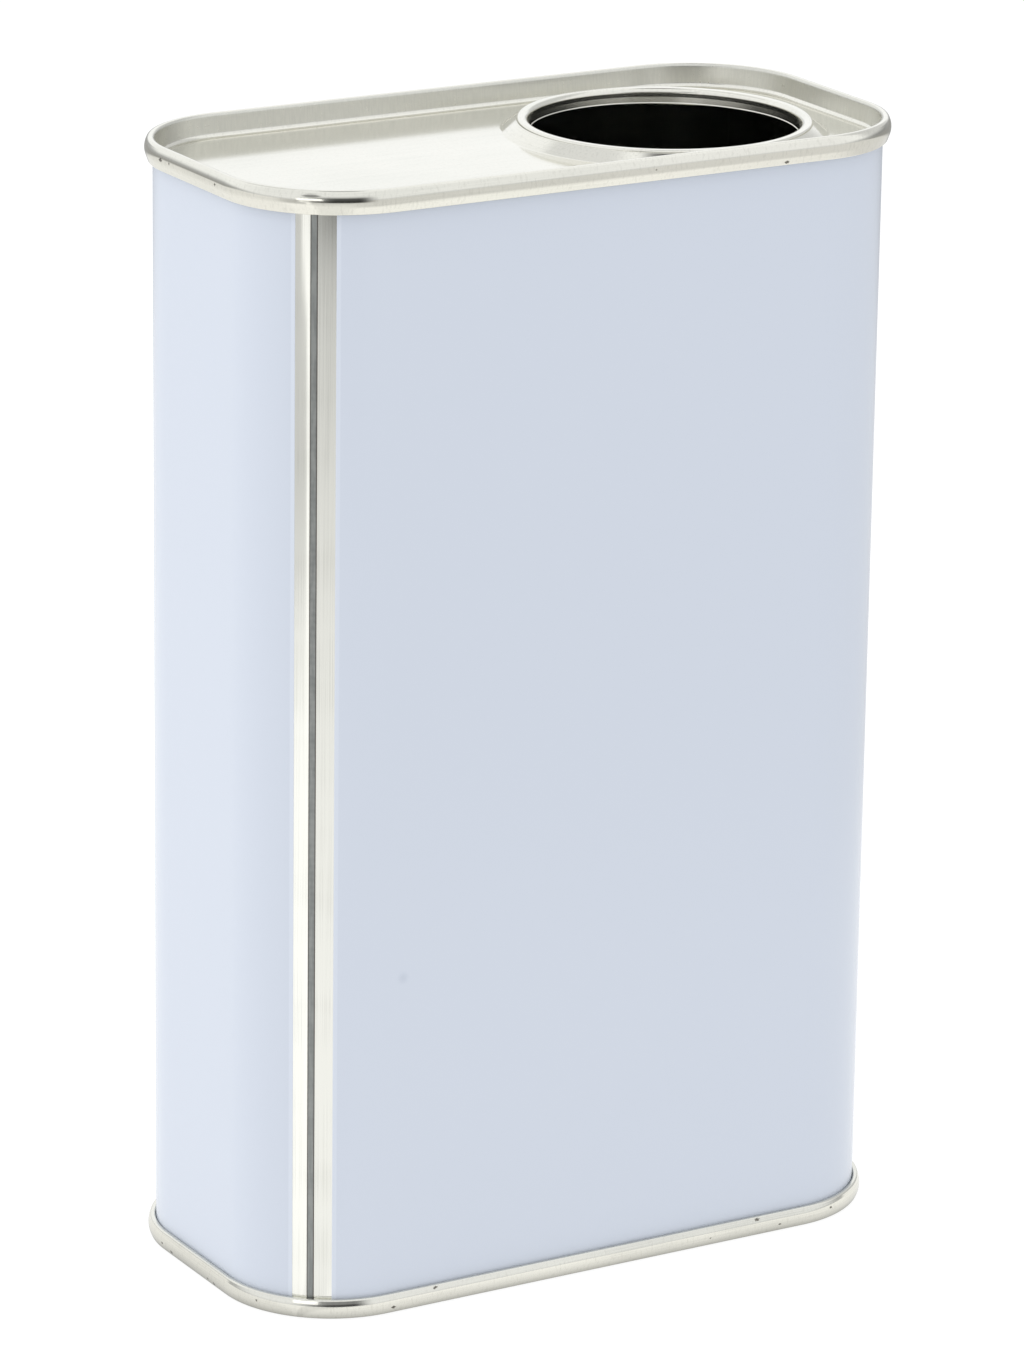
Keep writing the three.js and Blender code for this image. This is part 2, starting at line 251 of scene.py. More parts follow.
@dataclass(frozen=True)
class CanSizes:
    """Sizes that all sub-assemblies share. Length, width and radius are over the body's outer face."""

    length: float
    width: float
    height: float
    corner_radius: float = 17.6
    body_sheet: float = 0.22
    end_sheet: float = 0.25
    lacquer_film: float = 0.05
    lacquer_tuck: float = 0.8  # how far the film runs in behind each seam
    film_end_gap: float = 0.1  # upright wall above the film's edge, before the seam leans out
    layer_clearance: float = 0.1
    top_seam_height: float = 3.7
    bottom_seam_height: float = 3.2
    seam_lean: float = 0.35
    crown_flat: float = 0.4
    hook_turn: float = 0.6
    hook_end_gap: float = 0.3
    compound_depth: float = 0.2
    compound_clearance: float = 0.03
    corner_steps: int = 48

    @classmethod
    def from_frame(cls) -> "CanSizes":
        """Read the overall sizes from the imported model.

        Returns:
            The sizes.
        """
        low, high = (Vector(corner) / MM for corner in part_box(CadNode.LACQUER_COAT.value))
        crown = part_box(CadNode.TOP_END.value)[1]
        film = 2 * cls.lacquer_film
        return cls(length=high.x - low.x - film, width=high.y - low.y - film, height=crown[2] / MM)

    @property
    def body_layer(self) -> float:
        """Middle of the body wall, outwards from its outer face."""
        return -self.body_sheet / 2

    @property
    def chuck_layer(self) -> float:
        """Middle of the end's chuck wall."""
        return -self.body_sheet - self.layer_clearance - self.end_sheet / 2

    @property
    def cover_hook_layer(self) -> float:
        """Middle of the end's hook, behind the body's hook."""
        return self.layer_clearance + self.end_sheet / 2

    @property
    def body_hook_layer(self) -> float:
        """Middle of the body's hook."""
        return self.cover_hook_layer + self.end_sheet / 2 + self.layer_clearance + self.body_sheet / 2

    @property
    def outer_layer(self) -> float:
        """Middle of the seam's outer wall."""
        return self.body_hook_layer + self.body_sheet / 2 + self.layer_clearance + self.end_sheet / 2

    @property
    def body_fold_radius(self) -> float:
        """Radius of the body's fold, at the middle of its sheet."""
        return (self.body_hook_layer - self.body_layer) / 2

    @property
    def body_fold_depth(self) -> float:
        """Depth of the fold's centre below the crown."""
        return self.end_sheet + self.compound_depth + self.body_sheet / 2 + self.body_fold_radius

    @property
    def body_fold_middle(self) -> float:
        """Middle of the body's fold, outwards from the body wall."""
        return (self.body_hook_layer + self.body_layer) / 2

    def body_hook_edge(self, seam_height: float) -> float:
        """Depth of the body hook's raw edge in a seam of the given height."""
        return seam_height - self.end_sheet / 2 - self.hook_turn - self.hook_end_gap

    @property
    def cover_hook_edge(self) -> float:
        """Depth of the cover hook's raw edge."""
        return self.body_fold_depth + self.hook_end_gap

    @property
    def crown_round(self) -> float:
        """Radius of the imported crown's shoulders, at the middle of their sheet."""
        return (self.outer_layer - self.chuck_layer - self.crown_flat) / 2

    def lean_foot(self, seam_height: float) -> float:
        """Depth at which a seam of the given height starts to lean out."""
        return seam_height - self.lacquer_tuck - self.film_end_gap

    def leaned(self, points: Sequence[Point], seam_height: float) -> list[Point]:
        """Lean points of a seam's upright layers, as (outward, depth), out towards its crown."""
        foot = self.lean_foot(seam_height)
        return [(out + self.seam_lean * max(0.0, 1 - depth / foot), depth) for out, depth in points]

    def path_length(self, angle: float) -> float:
        """Measure along the can's outline to a place on the welded corner.

        Args:
            angle: Direction in which the outline faces there, in degrees from +X.

        Returns:
            Length anticlockwise from the start of the right-hand back corner.
        """
        corners = math.pi * self.corner_radius
        straights = self.length + self.width - 4 * self.corner_radius
        return corners + straights + self.corner_radius * math.radians(angle - 180)


# Node trees


class Ramp(NamedTuple):
    """Smooth step: while a value goes from low to high, the result goes from first to last."""

    low: float
    high: float
    first: float = 0.0
    last: float = 1.0

    @property
    def metres(self) -> "Ramp":
        """Same step for a value in metres, where this one is for millimetres."""
        return self._replace(low=self.low * MM, high=self.high * MM)


class Relief(NamedTuple):
    """Strength of a bump and its full height, in millimetres."""

    strength: float
    height: float


class NodeSheet:
    """Short way of adding joined nodes to one tree."""

    def __init__(self, tree: NodeTree) -> None:
        """Empty the tree and keep it."""
        self.tree = tree
        tree.nodes.clear()

    def add(self, kind: str, inputs: Inputs | None = None, **settings: Any) -> Node:
        """Add a node.

        Args:
            kind: Blender's name of the node's type.
            inputs: Value, or output of another node, for each input by name or number.
            **settings: Attributes of the node.

        Returns:
            The node.
        """
        node = self.tree.nodes.new(kind)
        for key, value in settings.items():
            setattr(node, key, value)
        for key, value in (inputs or {}).items():
            if isinstance(value, NodeSocket):
                self.tree.links.new(value, node.inputs[key])
            else:
                node.inputs[key].default_value = value
        return node

    def out(
        self, kind: str, inputs: Inputs | None = None, output: str | int = 0, **settings: Any
    ) -> NodeSocket:
        """Add a node as add does, and return one of its outputs."""
        return self.add(kind, inputs, **settings).outputs[output]

    def math(self, operation: str, *values: Input) -> NodeSocket:
        """Add a Math node and return its result."""
        return self.out("ShaderNodeMath", dict(enumerate(values)), operation=operation)

    def product(self, *values: Input) -> Input:
        """Multiply numbers and return the result."""
        return reduce(lambda first, second: self.math("MULTIPLY", first, second), values)

    def vector(self, operation: str, *values: Input) -> NodeSocket:
        """Add a Vector Math node and return its result, which is a vector or a number."""
        output = "Value" if operation in ("DOT_PRODUCT", "DISTANCE", "LENGTH") else "Vector"
        return self.out("ShaderNodeVectorMath", dict(enumerate(values)), output, operation=operation)

    def remap(self, value: Input, ramp: Ramp) -> NodeSocket:
        """Put a value through a ramp and return the result."""
        inputs = dict(enumerate((value, *ramp)))
        return self.out("ShaderNodeMapRange", inputs, interpolation_type="SMOOTHSTEP")

    def mix(self, factor: Input, first: Input, second: Input) -> NodeSocket:
        """Blend two numbers and return the result."""
        return self.out("ShaderNodeMix", {0: factor, 2: first, 3: second}, data_type="FLOAT")

    def mix_colour(self, factor: Input, first: Input, second: Input) -> NodeSocket:
        """Blend two colours, each a socket or three numbers, and return the result."""
        ends = [end if isinstance(end, NodeSocket) else (*end, 1.0) for end in (first, second)]
        return self.out("ShaderNodeMix", {0: factor, 6: ends[0], 7: ends[1]}, 2, data_type="RGBA")

    def place(self) -> NodeSocket:
        """Give the object's own coordinates, in metres."""
        return self.out("ShaderNodeTexCoord", output="Object")

    def rise(self, vector: Input) -> NodeSocket:
        """Give the upright part of a vector."""
        return self.out("ShaderNodeSeparateXYZ", {0: vector}, "Z")

    def mirrored(self) -> NodeSocket:
        """Tell rays that come off or through a glossy surface, 1, from others, 0."""
        path = self.add("ShaderNodeLightPath").outputs
        return self.math("MAXIMUM", path["Is Glossy Ray"], path["Is Transmission Ray"])

    def seen(self) -> NodeSocket:
        """Tell the camera's own rays, 1, from others, 0."""
        return self.out("ShaderNodeLightPath", output="Is Camera Ray")

    def cells(self, place: Input, sizes: Sequence[float]) -> NodeSocket:
        """Divide coordinates in metres by sizes in millimetres."""
        return self.vector("MULTIPLY", place, [1 / (size * MM) for size in sizes])

    def noise(self, place: Input, sizes: Sequence[float], detail: float = 2.0) -> NodeSocket:
        """Add noise, from 0 to 1, whose marks have the given sizes along X, Y and Z."""
        inputs = {"Vector": self.cells(place, sizes), "Scale": 1.0, "Detail": detail}
        return self.out("ShaderNodeTexNoise", inputs, "Fac")

    def bump(self, height: Input, relief: Relief) -> NodeSocket:
        """Add a Bump node and return its normal."""
        inputs = {"Height": height, "Strength": relief.strength, "Distance": relief.height * MM}
        return self.out("ShaderNodeBump", inputs, "Normal")


class MaterialSheet(NodeSheet):
    """Node tree of a new material."""

    def __init__(self, name: str) -> None:
        """Make the material.

        Args:
            name: Its name.
        """
        self.material = bpy.data.materials.new(name)
        self.material.use_nodes = True
        super().__init__(self.material.node_tree)

    def from_edge(self) -> NodeSocket:
        """Give the distance from the nearer end of a swept strip."""
        return self.out("ShaderNodeAttribute", output="Fac", attribute_name=EDGE_ATTRIBUTE)

    def mix_shader(self, factor: Input, first: NodeSocket, second: NodeSocket) -> NodeSocket:
        """Blend two shaders and return the result."""
        return self.out("ShaderNodeMixShader", {0: factor, 1: first, 2: second})

    def glow(self, strength: Input, colour: Colour = (1.0, 1.0, 1.0)) -> NodeSocket:
        """Add an emission of the given strength and return it."""
        return self.out("ShaderNodeEmission", {"Color": (*colour, 1.0), "Strength": strength})

    def surface(self, colour: Input, roughness: Input, normal: Input, metallic: float = 0.0) -> None:
        """Add the shader of a material and show it."""
        inputs = {"Base Color": colour, "Roughness": roughness, "Normal": normal, "Metallic": metallic}
        self.show(self.out("ShaderNodeBsdfPrincipled", inputs))

    def show(self, shader: NodeSocket) -> None:
        """Add the output of a material."""
        self.add("ShaderNodeOutputMaterial", {"Surface": shader})


# Finishes


@dataclass(frozen=True)
class Finish:
    """Finish of a piece."""

    name: str

    @cached_property
    def sheet(self) -> MaterialSheet:
        """Node tree of the finish's material."""
        return MaterialSheet(self.name)

    @cached_property
    def place(self) -> NodeSocket:
        """The piece's own coordinates, in metres."""
        return self.sheet.place()

    @cached_property
    def material(self) -> Material:
        """Material with the finish, made when it is first asked for."""
        self.paint()
        return self.sheet.material

    def paint(self) -> None:
        """Fill the material's node tree."""
        raise NotImplementedError


@dataclass(frozen=True)
class Nick:
    """Small dark handling mark on a seam."""

    place: Size
    reach: float


LID_NICKS: Final = (
    Nick((-56.6, 9.61, 175.59), 0.57),
    Nick((-56.6, 6.86, 175.54), 0.35),
    Nick((-56.6, -7.69, 175.43), 0.41),
    Nick((29.57, -28.85, 174.17), 0.43),
    Nick((6.28, -29.05, 175.49), 0.22),
)
BASE_NICKS: Final = (
    Nick((-56.6, 10.28, 1.36), 0.35),
    Nick((-56.6, 7.21, 0.86), 0.46),
    Nick((-56.6, -4.93, 0.90), 0.30),
    Nick((-56.6, -6.93, 0.71), 0.43),
    Nick((-54.96, -18.01, 1.73), 0.35),
    Nick((-37.16, -29.05, 1.10), 0.43),
    Nick((-29.7, -28.85, 2.80), 0.43),
    Nick((20.19, -29.05, 1.37), 0.22),
    Nick((28.95, -28.85, 2.75), 0.49),
    Nick((33.18, -29.05, 1.32), 0.30),
    Nick((43.2, -28.28, 1.95), 0.35),
)


@dataclass(frozen=True)
class Tinplate(Finish):
    """Bright tinplate with a rolled grain, fine tool marks and a few dark nicks."""

    grain: Grain
    neck_middle: float = 0.0
    neck_foot: float = 0.0
    throat_radius: float = 0.0
    shoulder_level: float = 0.0  # height above which the seam's inner shoulder is dull too
    nicks: tuple[Nick, ...] = ()
    tint: Colour = (0.77, 0.755, 0.69)
    dull_tint: Colour = (0.70, 0.695, 0.63)
    nick_tint: Colour = (0.16, 0.15, 0.13)
    scuff_tint: Colour = (0.63, 0.625, 0.575)
    scratch_tint: Colour = (0.50, 0.485, 0.43)
    roughness: float = 0.1
    panel_roughness: float = 0.11
    scuff_roughness: float = 0.36
    skirt_roughness: float = 0.2
    roughening: Ramp = Ramp(0.3, 0.7, -0.025, 0.025)
    relief: Relief = Relief(0.3, 0.004)
    cloud: Size = (22.0, 22.0, 9.0)
    tool_mark: Size = (9.0, 9.0, 0.16)
    upright_mark: Size = (0.22, 0.22, 30.0)
    scuff_mark: Size = (0.3, 0.3, 4.0)
    scratch_mark: Size = (0.4, 0.4, 1.1)
    rolled_mark: Size = (40.0, 1.1, 40.0)
    turned_mark: Size = (0.14, 0.14, 0.14)
    tool_grain: float = 0.6
    panel_grain: float = 0.25
    unmarked: float = 0.5
    dulling: Ramp = Ramp(0.15, 0.5)
    scratching: Ramp = Ramp(0.48, 0.75, 0.0, 0.22)
    scuffing: Ramp = Ramp(0.3, 0.7, 0.7, 1.0)
    level_face: Ramp = Ramp(0.75, 0.95)
    inward_face: Ramp = Ramp(-0.02, -0.008, 1.0, 0.0)
    upright_face: Ramp = Ramp(0.2, 0.4, 1.0, 0.0)
    shoulder_face: Ramp = Ramp(0.75, 0.97, 1.0, 0.0)
    shoulder_blend: float = 0.2
    skirt_blend: float = 0.3
    neck_blend: float = 0.1
    clean_by_neck: float = 1.0
    nick_edge: Ramp = Ramp(0.6, 1.1, 1.0, 0.0)  # as shares of the nick's reach
    nick_squash: Size = (1.0, 1.0, 1.6)
    nick_grit: Size = (0.35, 0.35, 0.2)
    nick_rag: Ramp = Ramp(0.3, 0.7, -0.12 * MM, 0.12 * MM)
    stray_spacing: Size = (14.0, 14.0, 5.0)
    stray_share: float = 0.12
    stray_edge: Ramp = Ramp(0.045, 0.075, 1.0, 0.0)  # as shares of the spacing
    stray_grit: Size = (0.3, 0.3, 0.3)
    stray_rag: float = 0.06

    @cached_property
    def height(self) -> NodeSocket:
        """Height in the can."""
        return self.sheet.rise(self.place)

    @cached_property
    def normal(self) -> NodeSocket:
        """Direction in which the face looks."""
        return self.sheet.out("ShaderNodeNewGeometry", output="Normal")

    @cached_property
    def tilt(self) -> NodeSocket:
        """How far the face looks up or down, from 0 to 1."""
        return self.sheet.math("ABSOLUTE", self.sheet.rise(self.normal))

    @cached_property
    def level(self) -> NodeSocket:
        """1 on level faces and 0 on upright ones."""
        return self.sheet.remap(self.tilt, self.level_face)

    @cached_property
    def from_axis(self) -> NodeSocket:
        """Distance from the neck's axis."""
        offset = self.sheet.vector("SUBTRACT", self.place, (self.neck_middle * MM, 0.0, 0.0))
        return self.sheet.vector("LENGTH", self.sheet.vector("MULTIPLY", offset, LEVEL_PART))

    def paint(self) -> None:
        """Fill the material's node tree."""
        sheet = self.sheet
        marks = self.marks()
        clouds = sheet.noise(self.place, self.cloud)
        dulling = sheet.remap(sheet.product(clouds, marks), self.dulling)
        colour = sheet.mix_colour(dulling, self.tint, self.dull_tint)
        rough = sheet.mix(self.level, self.roughness, self.panel_roughness)
        if self.grain is not Grain.UPRIGHT:
            scratches = sheet.noise(self.place, self.scratch_mark, FINE_DETAIL)
            scratches = sheet.remap(scratches, self.scratching)
            colour = sheet.mix_colour(scratches, colour, self.scratch_tint)
            worn = self.scuffs()
            rough = sheet.mix(worn, rough, self.scuff_roughness)
            colour = sheet.mix_colour(worn, colour, self.scuff_tint)
            colour = sheet.mix_colour(self.nick_marks(), colour, self.nick_tint)
        if self.grain is Grain.DRAWN_LID:
            skirt = Ramp(self.throat_radius, self.throat_radius + self.skirt_blend, 1.0, 0.0)
            rough = sheet.mix(sheet.remap(self.from_axis, skirt.metres), rough, self.skirt_roughness)
        rough = sheet.math("ADD", rough, sheet.remap(marks, self.roughening))
        sheet.surface(colour, rough, sheet.bump(marks, self.relief), metallic=1.0)

    def marks(self) -> NodeSocket:
        """Lay the fine marks along the way in which the sheet was worked.

        Returns:
            The marks, from 0 to 1.
        """
        sheet = self.sheet
        if self.grain is Grain.UPRIGHT:
            return sheet.noise(self.place, self.upright_mark)
        tooled = sheet.noise(self.place, self.tool_mark, FINE_DETAIL)
        walls = sheet.mix(self.tool_grain, self.unmarked, tooled)
        rolled = sheet.noise(self.place, self.rolled_mark)
        panel = sheet.mix(self.panel_grain, self.unmarked, rolled)
        marks = sheet.mix(self.level, walls, panel)
        if self.grain is Grain.PRESSED_END:
            return marks
        rings = sheet.out("ShaderNodeCombineXYZ", {0: self.from_axis, 1: self.height})
        edge = Ramp(self.neck_foot - self.neck_blend, self.neck_foot + self.neck_blend, 1.0, 0.0)
        on_neck = sheet.remap(self.from_axis, edge.metres)
        return sheet.mix(on_neck, marks, sheet.noise(rings, self.turned_mark))

    def scuffs(self) -> Input:
        """Dull the chuck wall, the one that faces inwards, with upright marks of the seaming tool.

        Returns:
            How dull the face is, from 0 to 1.
        """
        sheet = self.sheet
        outward = sheet.vector("MULTIPLY", self.place, LEVEL_PART)
        inward = sheet.remap(sheet.vector("DOT_PRODUCT", self.normal, outward), self.inward_face)
        upright = sheet.remap(self.tilt, self.upright_face)
        streaks = sheet.remap(sheet.noise(self.place, self.scuff_mark, FINE_DETAIL), self.scuffing)
        if self.grain is Grain.PRESSED_END:
            return sheet.product(inward, upright, streaks)
        foot = Ramp(self.shoulder_level - self.shoulder_blend, self.shoulder_level)
        rounded = sheet.remap(self.tilt, self.shoulder_face)
        upright = sheet.mix(sheet.remap(self.height, foot.metres), upright, rounded)
        off_neck = Ramp(self.neck_foot, self.neck_foot + self.clean_by_neck)
        return sheet.product(inward, upright, streaks, sheet.remap(self.from_axis, off_neck.metres))

    def nick_marks(self) -> Input:
        """Set the known nicks and the stray ones on the upright walls.

        Returns:
            The nicks, 1 in their middle and 0 elsewhere.
        """
        sheet = self.sheet
        marks = self.stray_nicks()
        ragged = sheet.remap(sheet.noise(self.place, self.nick_grit), self.nick_rag)
        squash = Vector(self.nick_squash)
        squashed = sheet.vector("MULTIPLY", self.place, squash)
        for nick in self.nicks:
            away = sheet.vector("DISTANCE", squashed, Vector(nick.place) * squash * MM)
            near, far, *levels = self.nick_edge
            edge = Ramp(near * nick.reach, far * nick.reach, *levels)
            spot = sheet.remap(sheet.math("ADD", away, ragged), edge.metres)
            marks = sheet.math("MAXIMUM", marks, spot)
        return sheet.product(marks, sheet.math("SUBTRACT", 1.0, self.level))

    def stray_nicks(self) -> Input:
        """Scatter a few small nicks, one at most in each cell of a loose grid.

        Returns:
            The nicks, 1 in their middle and 0 elsewhere.
        """
        sheet = self.sheet
        inputs = {"Vector": sheet.cells(self.place, self.stray_spacing), "Scale": 1.0}
        grid = sheet.add("ShaderNodeTexVoronoi", inputs).outputs
        marked = sheet.math("GREATER_THAN", grid["Color"], 1 - self.stray_share)
        ragged = sheet.product(sheet.noise(self.place, self.stray_grit), self.stray_rag)
        away = sheet.math("ADD", grid["Distance"], ragged)
        return sheet.product(sheet.remap(away, self.stray_edge), marked)


@dataclass(frozen=True)
class WhiteLacquer(Finish):
    """Cool white roller-coated lacquer, with a painted highlight: a paler band along its edges beside the
    bare strips.
    """

    name: str = "cool white lacquer"
    tint: Colour = (0.655, 0.70, 0.785)
    shade_tint: Colour = (0.65, 0.697, 0.783)
    # pale_tint here is the colour of the painted highlight along the film's edges
    pale_tint: Colour = (0.70, 0.745, 0.83)
    rub_tint: Colour = (0.55, 0.60, 0.69)
    cloud: Size = (14.0, 14.0, 14.0)
    cloud_detail: float = 4.0
    # ramp of the painted edge highlight, by distance from the film's edge in millimetres
    edge_highlight_ramp: Ramp = Ramp(0.525, 0.75, 1.0, 0.0)
    rub_place: Size = (-35.26, -27.95, 54.19)
    rubbing: Ramp = Ramp(0.0, 1.3, 0.7, 0.0)
    gloss: Ramp = Ramp(0.3, 0.7, 0.25, 0.27)
    peel: Size = (1.4, 1.4, 1.4)
    relief: Relief = Relief(0.1, 0.002)

    def paint(self) -> None:
        """Fill the material's node tree."""
        sheet = self.sheet
        clouds = sheet.noise(self.place, self.cloud, self.cloud_detail)
        colour = sheet.mix_colour(clouds, self.tint, self.shade_tint)
        # painted highlight: paler within a short distance of the film's edges beside the bare strips
        painted_edge_highlight = sheet.remap(sheet.from_edge(), self.edge_highlight_ramp.metres)
        colour = sheet.mix_colour(painted_edge_highlight, colour, self.pale_tint)
        from_rub = sheet.vector("DISTANCE", self.place, Vector(self.rub_place) * MM)
        colour = sheet.mix_colour(sheet.remap(from_rub, self.rubbing.metres), colour, self.rub_tint)
        peel = sheet.noise(self.place, self.peel, FINE_DETAIL)
        sheet.surface(colour, sheet.remap(clouds, self.gloss), sheet.bump(peel, self.relief))


@dataclass(frozen=True)
class WeldSteel(Finish):
    """Dull steel of the lap weld, tinned off and browned along both edges by the heat."""

    name: str = "weld steel"
    tint: Colour = (0.25, 0.262, 0.258)
    pale_tint: Colour = (0.34, 0.352, 0.343)
    heat_tint: Colour = (0.12, 0.11, 0.10)
    mottle: Size = (0.6, 0.6, 3.5)
    paling: Ramp = Ramp(0.35, 0.7)
    heat: Ramp = Ramp(0.08, 0.2, 1.0, 0.0)
    roughness: Ramp = Ramp(0.3, 0.7, 0.37, 0.53)
    relief: Relief = Relief(0.4, 0.01)
    metallic: float = 0.9

    def paint(self) -> None:
        """Fill the material's node tree."""
        sheet = self.sheet
        mottle = sheet.noise(self.place, self.mottle, FINE_DETAIL)
        colour = sheet.mix_colour(sheet.remap(mottle, self.paling), self.tint, self.pale_tint)
        heat = sheet.remap(sheet.from_edge(), self.heat.metres)
        colour = sheet.mix_colour(heat, colour, self.heat_tint)
        rough = sheet.remap(mottle, self.roughness)
        sheet.surface(colour, rough, sheet.bump(mottle, self.relief), self.metallic)


@dataclass(frozen=True)
class SeamCompound(Finish):
    """Matt cured rubber of the sealing rings."""

    name: str = "cured sealing compound"
    tint: Colour = (0.30, 0.31, 0.29)
    dark_tint: Colour = (0.22, 0.23, 0.21)
    grit: Size = (0.3, 0.3, 0.3)
    roughness: Ramp = Ramp(0.3, 0.7, 0.7, 0.85)
    relief: Relief = Relief(0.3, 0.02)

    def paint(self) -> None:
        """Fill the material's node tree."""
        sheet = self.sheet
        grit = sheet.noise(self.place, self.grit, FINE_DETAIL)
        colour = sheet.mix_colour(grit, self.tint, self.dark_tint)
        sheet.surface(colour, sheet.remap(grit, self.roughness), sheet.bump(grit, self.relief))


# Sweeps


class Sweep:
    """Geometry Nodes tree that carries a section along a level path and sets the finish."""

    def __init__(self, name: str, kinds: Mapping[str, str]) -> None:
        """Start the tree with its inputs.

        Args:
            name: Name of the tree.
            kinds: Kind of each input by name, apart from the section and the finish.
        """
        self.tree = bpy.data.node_groups.new(name, "GeometryNodeTree")
        self.sheet = NodeSheet(self.tree)
        self.identifiers: dict[str, str] = {}
        interface = self.tree.interface
        interface.new_socket("Geometry", in_out="OUTPUT", socket_type="NodeSocketGeometry")
        for key, kind in {"Section": "Object", "Finish": "Material", **kinds}.items():
            socket = interface.new_socket(key, in_out="INPUT", socket_type="NodeSocket" + kind)
            self.identifiers[key] = socket.identifier
        self.given = self.sheet.add("NodeGroupInput").outputs

    def carry(self, path: NodeSocket) -> None:
        """Finish the tree: sweep the section along the path, shade it and set its material.

        Args:
            path: Curve that the section follows.
        """
        sheet = self.sheet
        length = sheet.out("GeometryNodeSplineParameter", output="Length")
        total = sheet.out("GeometryNodeSplineLength", output="Length")
        edge = sheet.math("MINIMUM", length, sheet.math("SUBTRACT", total, length))
        inputs = {"Geometry": path, "Name": EDGE_ATTRIBUTE, "Value": edge}
        path = sheet.out("GeometryNodeStoreNamedAttribute", inputs, data_type="FLOAT")
        path = sheet.out("GeometryNodeSetCurveNormal", {"Curve": path}, mode="Z_UP")
        section = sheet.out("GeometryNodeObjectInfo", {"Object": self.given["Section"]}, "Geometry")
        inputs = {"Curve": path, "Profile Curve": section, "Fill Caps": True}
        shape = sheet.out("GeometryNodeCurveToMesh", inputs)
        shape = sheet.out("GeometryNodeSetShadeSmooth", {0: shape, "Shade Smooth": True})
        angle = sheet.out("GeometryNodeInputMeshEdgeAngle", output="Unsigned Angle")
        folded = sheet.math("GREATER_THAN", angle, SHARP_ANGLE)
        inputs = {0: shape, "Selection": folded, "Shade Smooth": False}
        shape = sheet.out("GeometryNodeSetShadeSmooth", inputs, domain="EDGE")
        shape = sheet.out("GeometryNodeRealizeInstances", {0: shape})
        inputs = {"Geometry": shape, "Material": self.given["Finish"]}
        sheet.add("NodeGroupOutput", {0: sheet.out("GeometryNodeSetMaterial", inputs)})

    def run(self, name: str, outline: Sequence[Point], closed: bool, values: Mapping[str, Any]) -> Mesh:
        """Sweep one section.

        Args:
            name: Name of the mesh.
            outline: Section as (outward, height) in millimetres.
            closed: Whether the outline closes on itself.
            values: Value of each of the tree's inputs by name, apart from the section.

        Returns:
            The plain mesh.
        """
        section = section_curve(name + " section", outline, closed)
        host = link_object(name, bpy.data.meshes.new(name + " host"))
        modifier = host.modifiers.new("sweep", "NODES")
        modifier.node_group = self.tree
        for key, value in {**values, "Section": section}.items():
            modifier[self.identifiers[key]] = value
        evaluated = host.evaluated_get(bpy.context.evaluated_depsgraph_get())
        mesh = bpy.data.meshes.new_from_object(evaluated)
        mesh.name = name
        host.modifiers.remove(modifier)
        for helper in (host, section):
            data = helper.data
            bpy.data.objects.remove(helper)
            bpy.data.batch_remove([data])
        return mesh


class OutlineSweep(Sweep):
    """Sweep along the can's rounded rectangle, all round or from one length along it to another."""

    def __init__(self, sizes: CanSizes) -> None:
        """Build the tree.

        Args:
            sizes: Sizes of the can.
        """
        lengths = dict.fromkeys(("Length", "Width", "Corner Radius", "Start", "End"), "Float")
        super().__init__("outline sweep", {**lengths, "Corner Steps": "Int", "Is Strip": "Bool"})
        self.sizes = sizes
        sheet, given = self.sheet, self.given
        inputs = {"Width": given["Length"], "Height": given["Width"]}
        outline = sheet.out("GeometryNodeCurvePrimitiveQuadrilateral", inputs)
        inputs = {"Curve": outline, "Radius": given["Corner Radius"], "Count": given["Corner Steps"]}
        outline = sheet.out("GeometryNodeFilletCurve", inputs, mode="POLY")
        inputs = {"Curve": outline, TRIM_START: given["Start"], TRIM_END: given["End"]}
        strip = sheet.out("GeometryNodeTrimCurve", inputs, mode="LENGTH")
        inputs = {"Switch": given["Is Strip"], "False": outline, "True": strip}
        self.carry(sheet.out("GeometryNodeSwitch", inputs, input_type="GEOMETRY"))

    def mesh(
        self,
        name: str,
        outline: Sequence[Point],
        finish: Material,
        strip: tuple[float, float] | None = None,
        closed: bool = True,
    ) -> Mesh:
        """Sweep a section round the can.

        Args:
            name: Name of the mesh.
            outline: Section as (outward from the body wall, height).
            finish: Its material.
            strip: Angles on the welded corner between which it runs anticlockwise, or None for all round.
            closed: Whether the outline closes on itself.

        Returns:
            The plain mesh.
        """
        sizes = self.sizes
        start, end = (sizes.path_length(angle) for angle in strip) if strip else (0.0, 0.0)
        return self.run(name, outline, closed, {
            "Finish": finish,
            "Length": sizes.length * MM,
            "Width": sizes.width * MM,
            "Corner Radius": sizes.corner_radius * MM,
            "Corner Steps": sizes.corner_steps,
            "Start": start * MM,
            "End": end * MM,
            "Is Strip": strip is not None,
        })


class NeckSweep(Sweep):
    """Sweep round an upright axis that lies on the can's long middle line."""

    def __init__(self) -> None:
        """Build the tree."""
        super().__init__("neck sweep", {"Middle": "Float", "Radius": "Float", "Steps": "Int"})
        sheet, given = self.sheet, self.given
        inputs = {"Resolution": given["Steps"], "Radius": given["Radius"]}
        circle = sheet.out("GeometryNodeCurvePrimitiveCircle", inputs, "Curve", mode="RADIUS")
        centre = sheet.out("ShaderNodeCombineXYZ", {"X": given["Middle"]})
        self.carry(sheet.out("GeometryNodeTransform", {"Geometry": circle, "Translation": centre}))


def section_curve(name: str, outline: Sequence[Point], closed: bool) -> Object:
    """Make the curve object of a section, whose X points outwards and whose Y points down.

    Args:
        name: Name of the object.
        outline: Points as (outward, height) in millimetres.
        closed: Whether the curve closes on itself.

    Returns:
        The curve object.
    """
    curve = bpy.data.curves.new(name, "CURVE")
    curve.dimensions = "2D"
    spline = curve.splines.new("POLY")
    spline.points.add(len(outline) - 1)
    for point, (out, height) in zip(spline.points, outline):
        point.co = (out * MM, -height * MM, 0.0, 1.0)
    spline.use_cyclic_u = closed
    return link_object(name, curve)


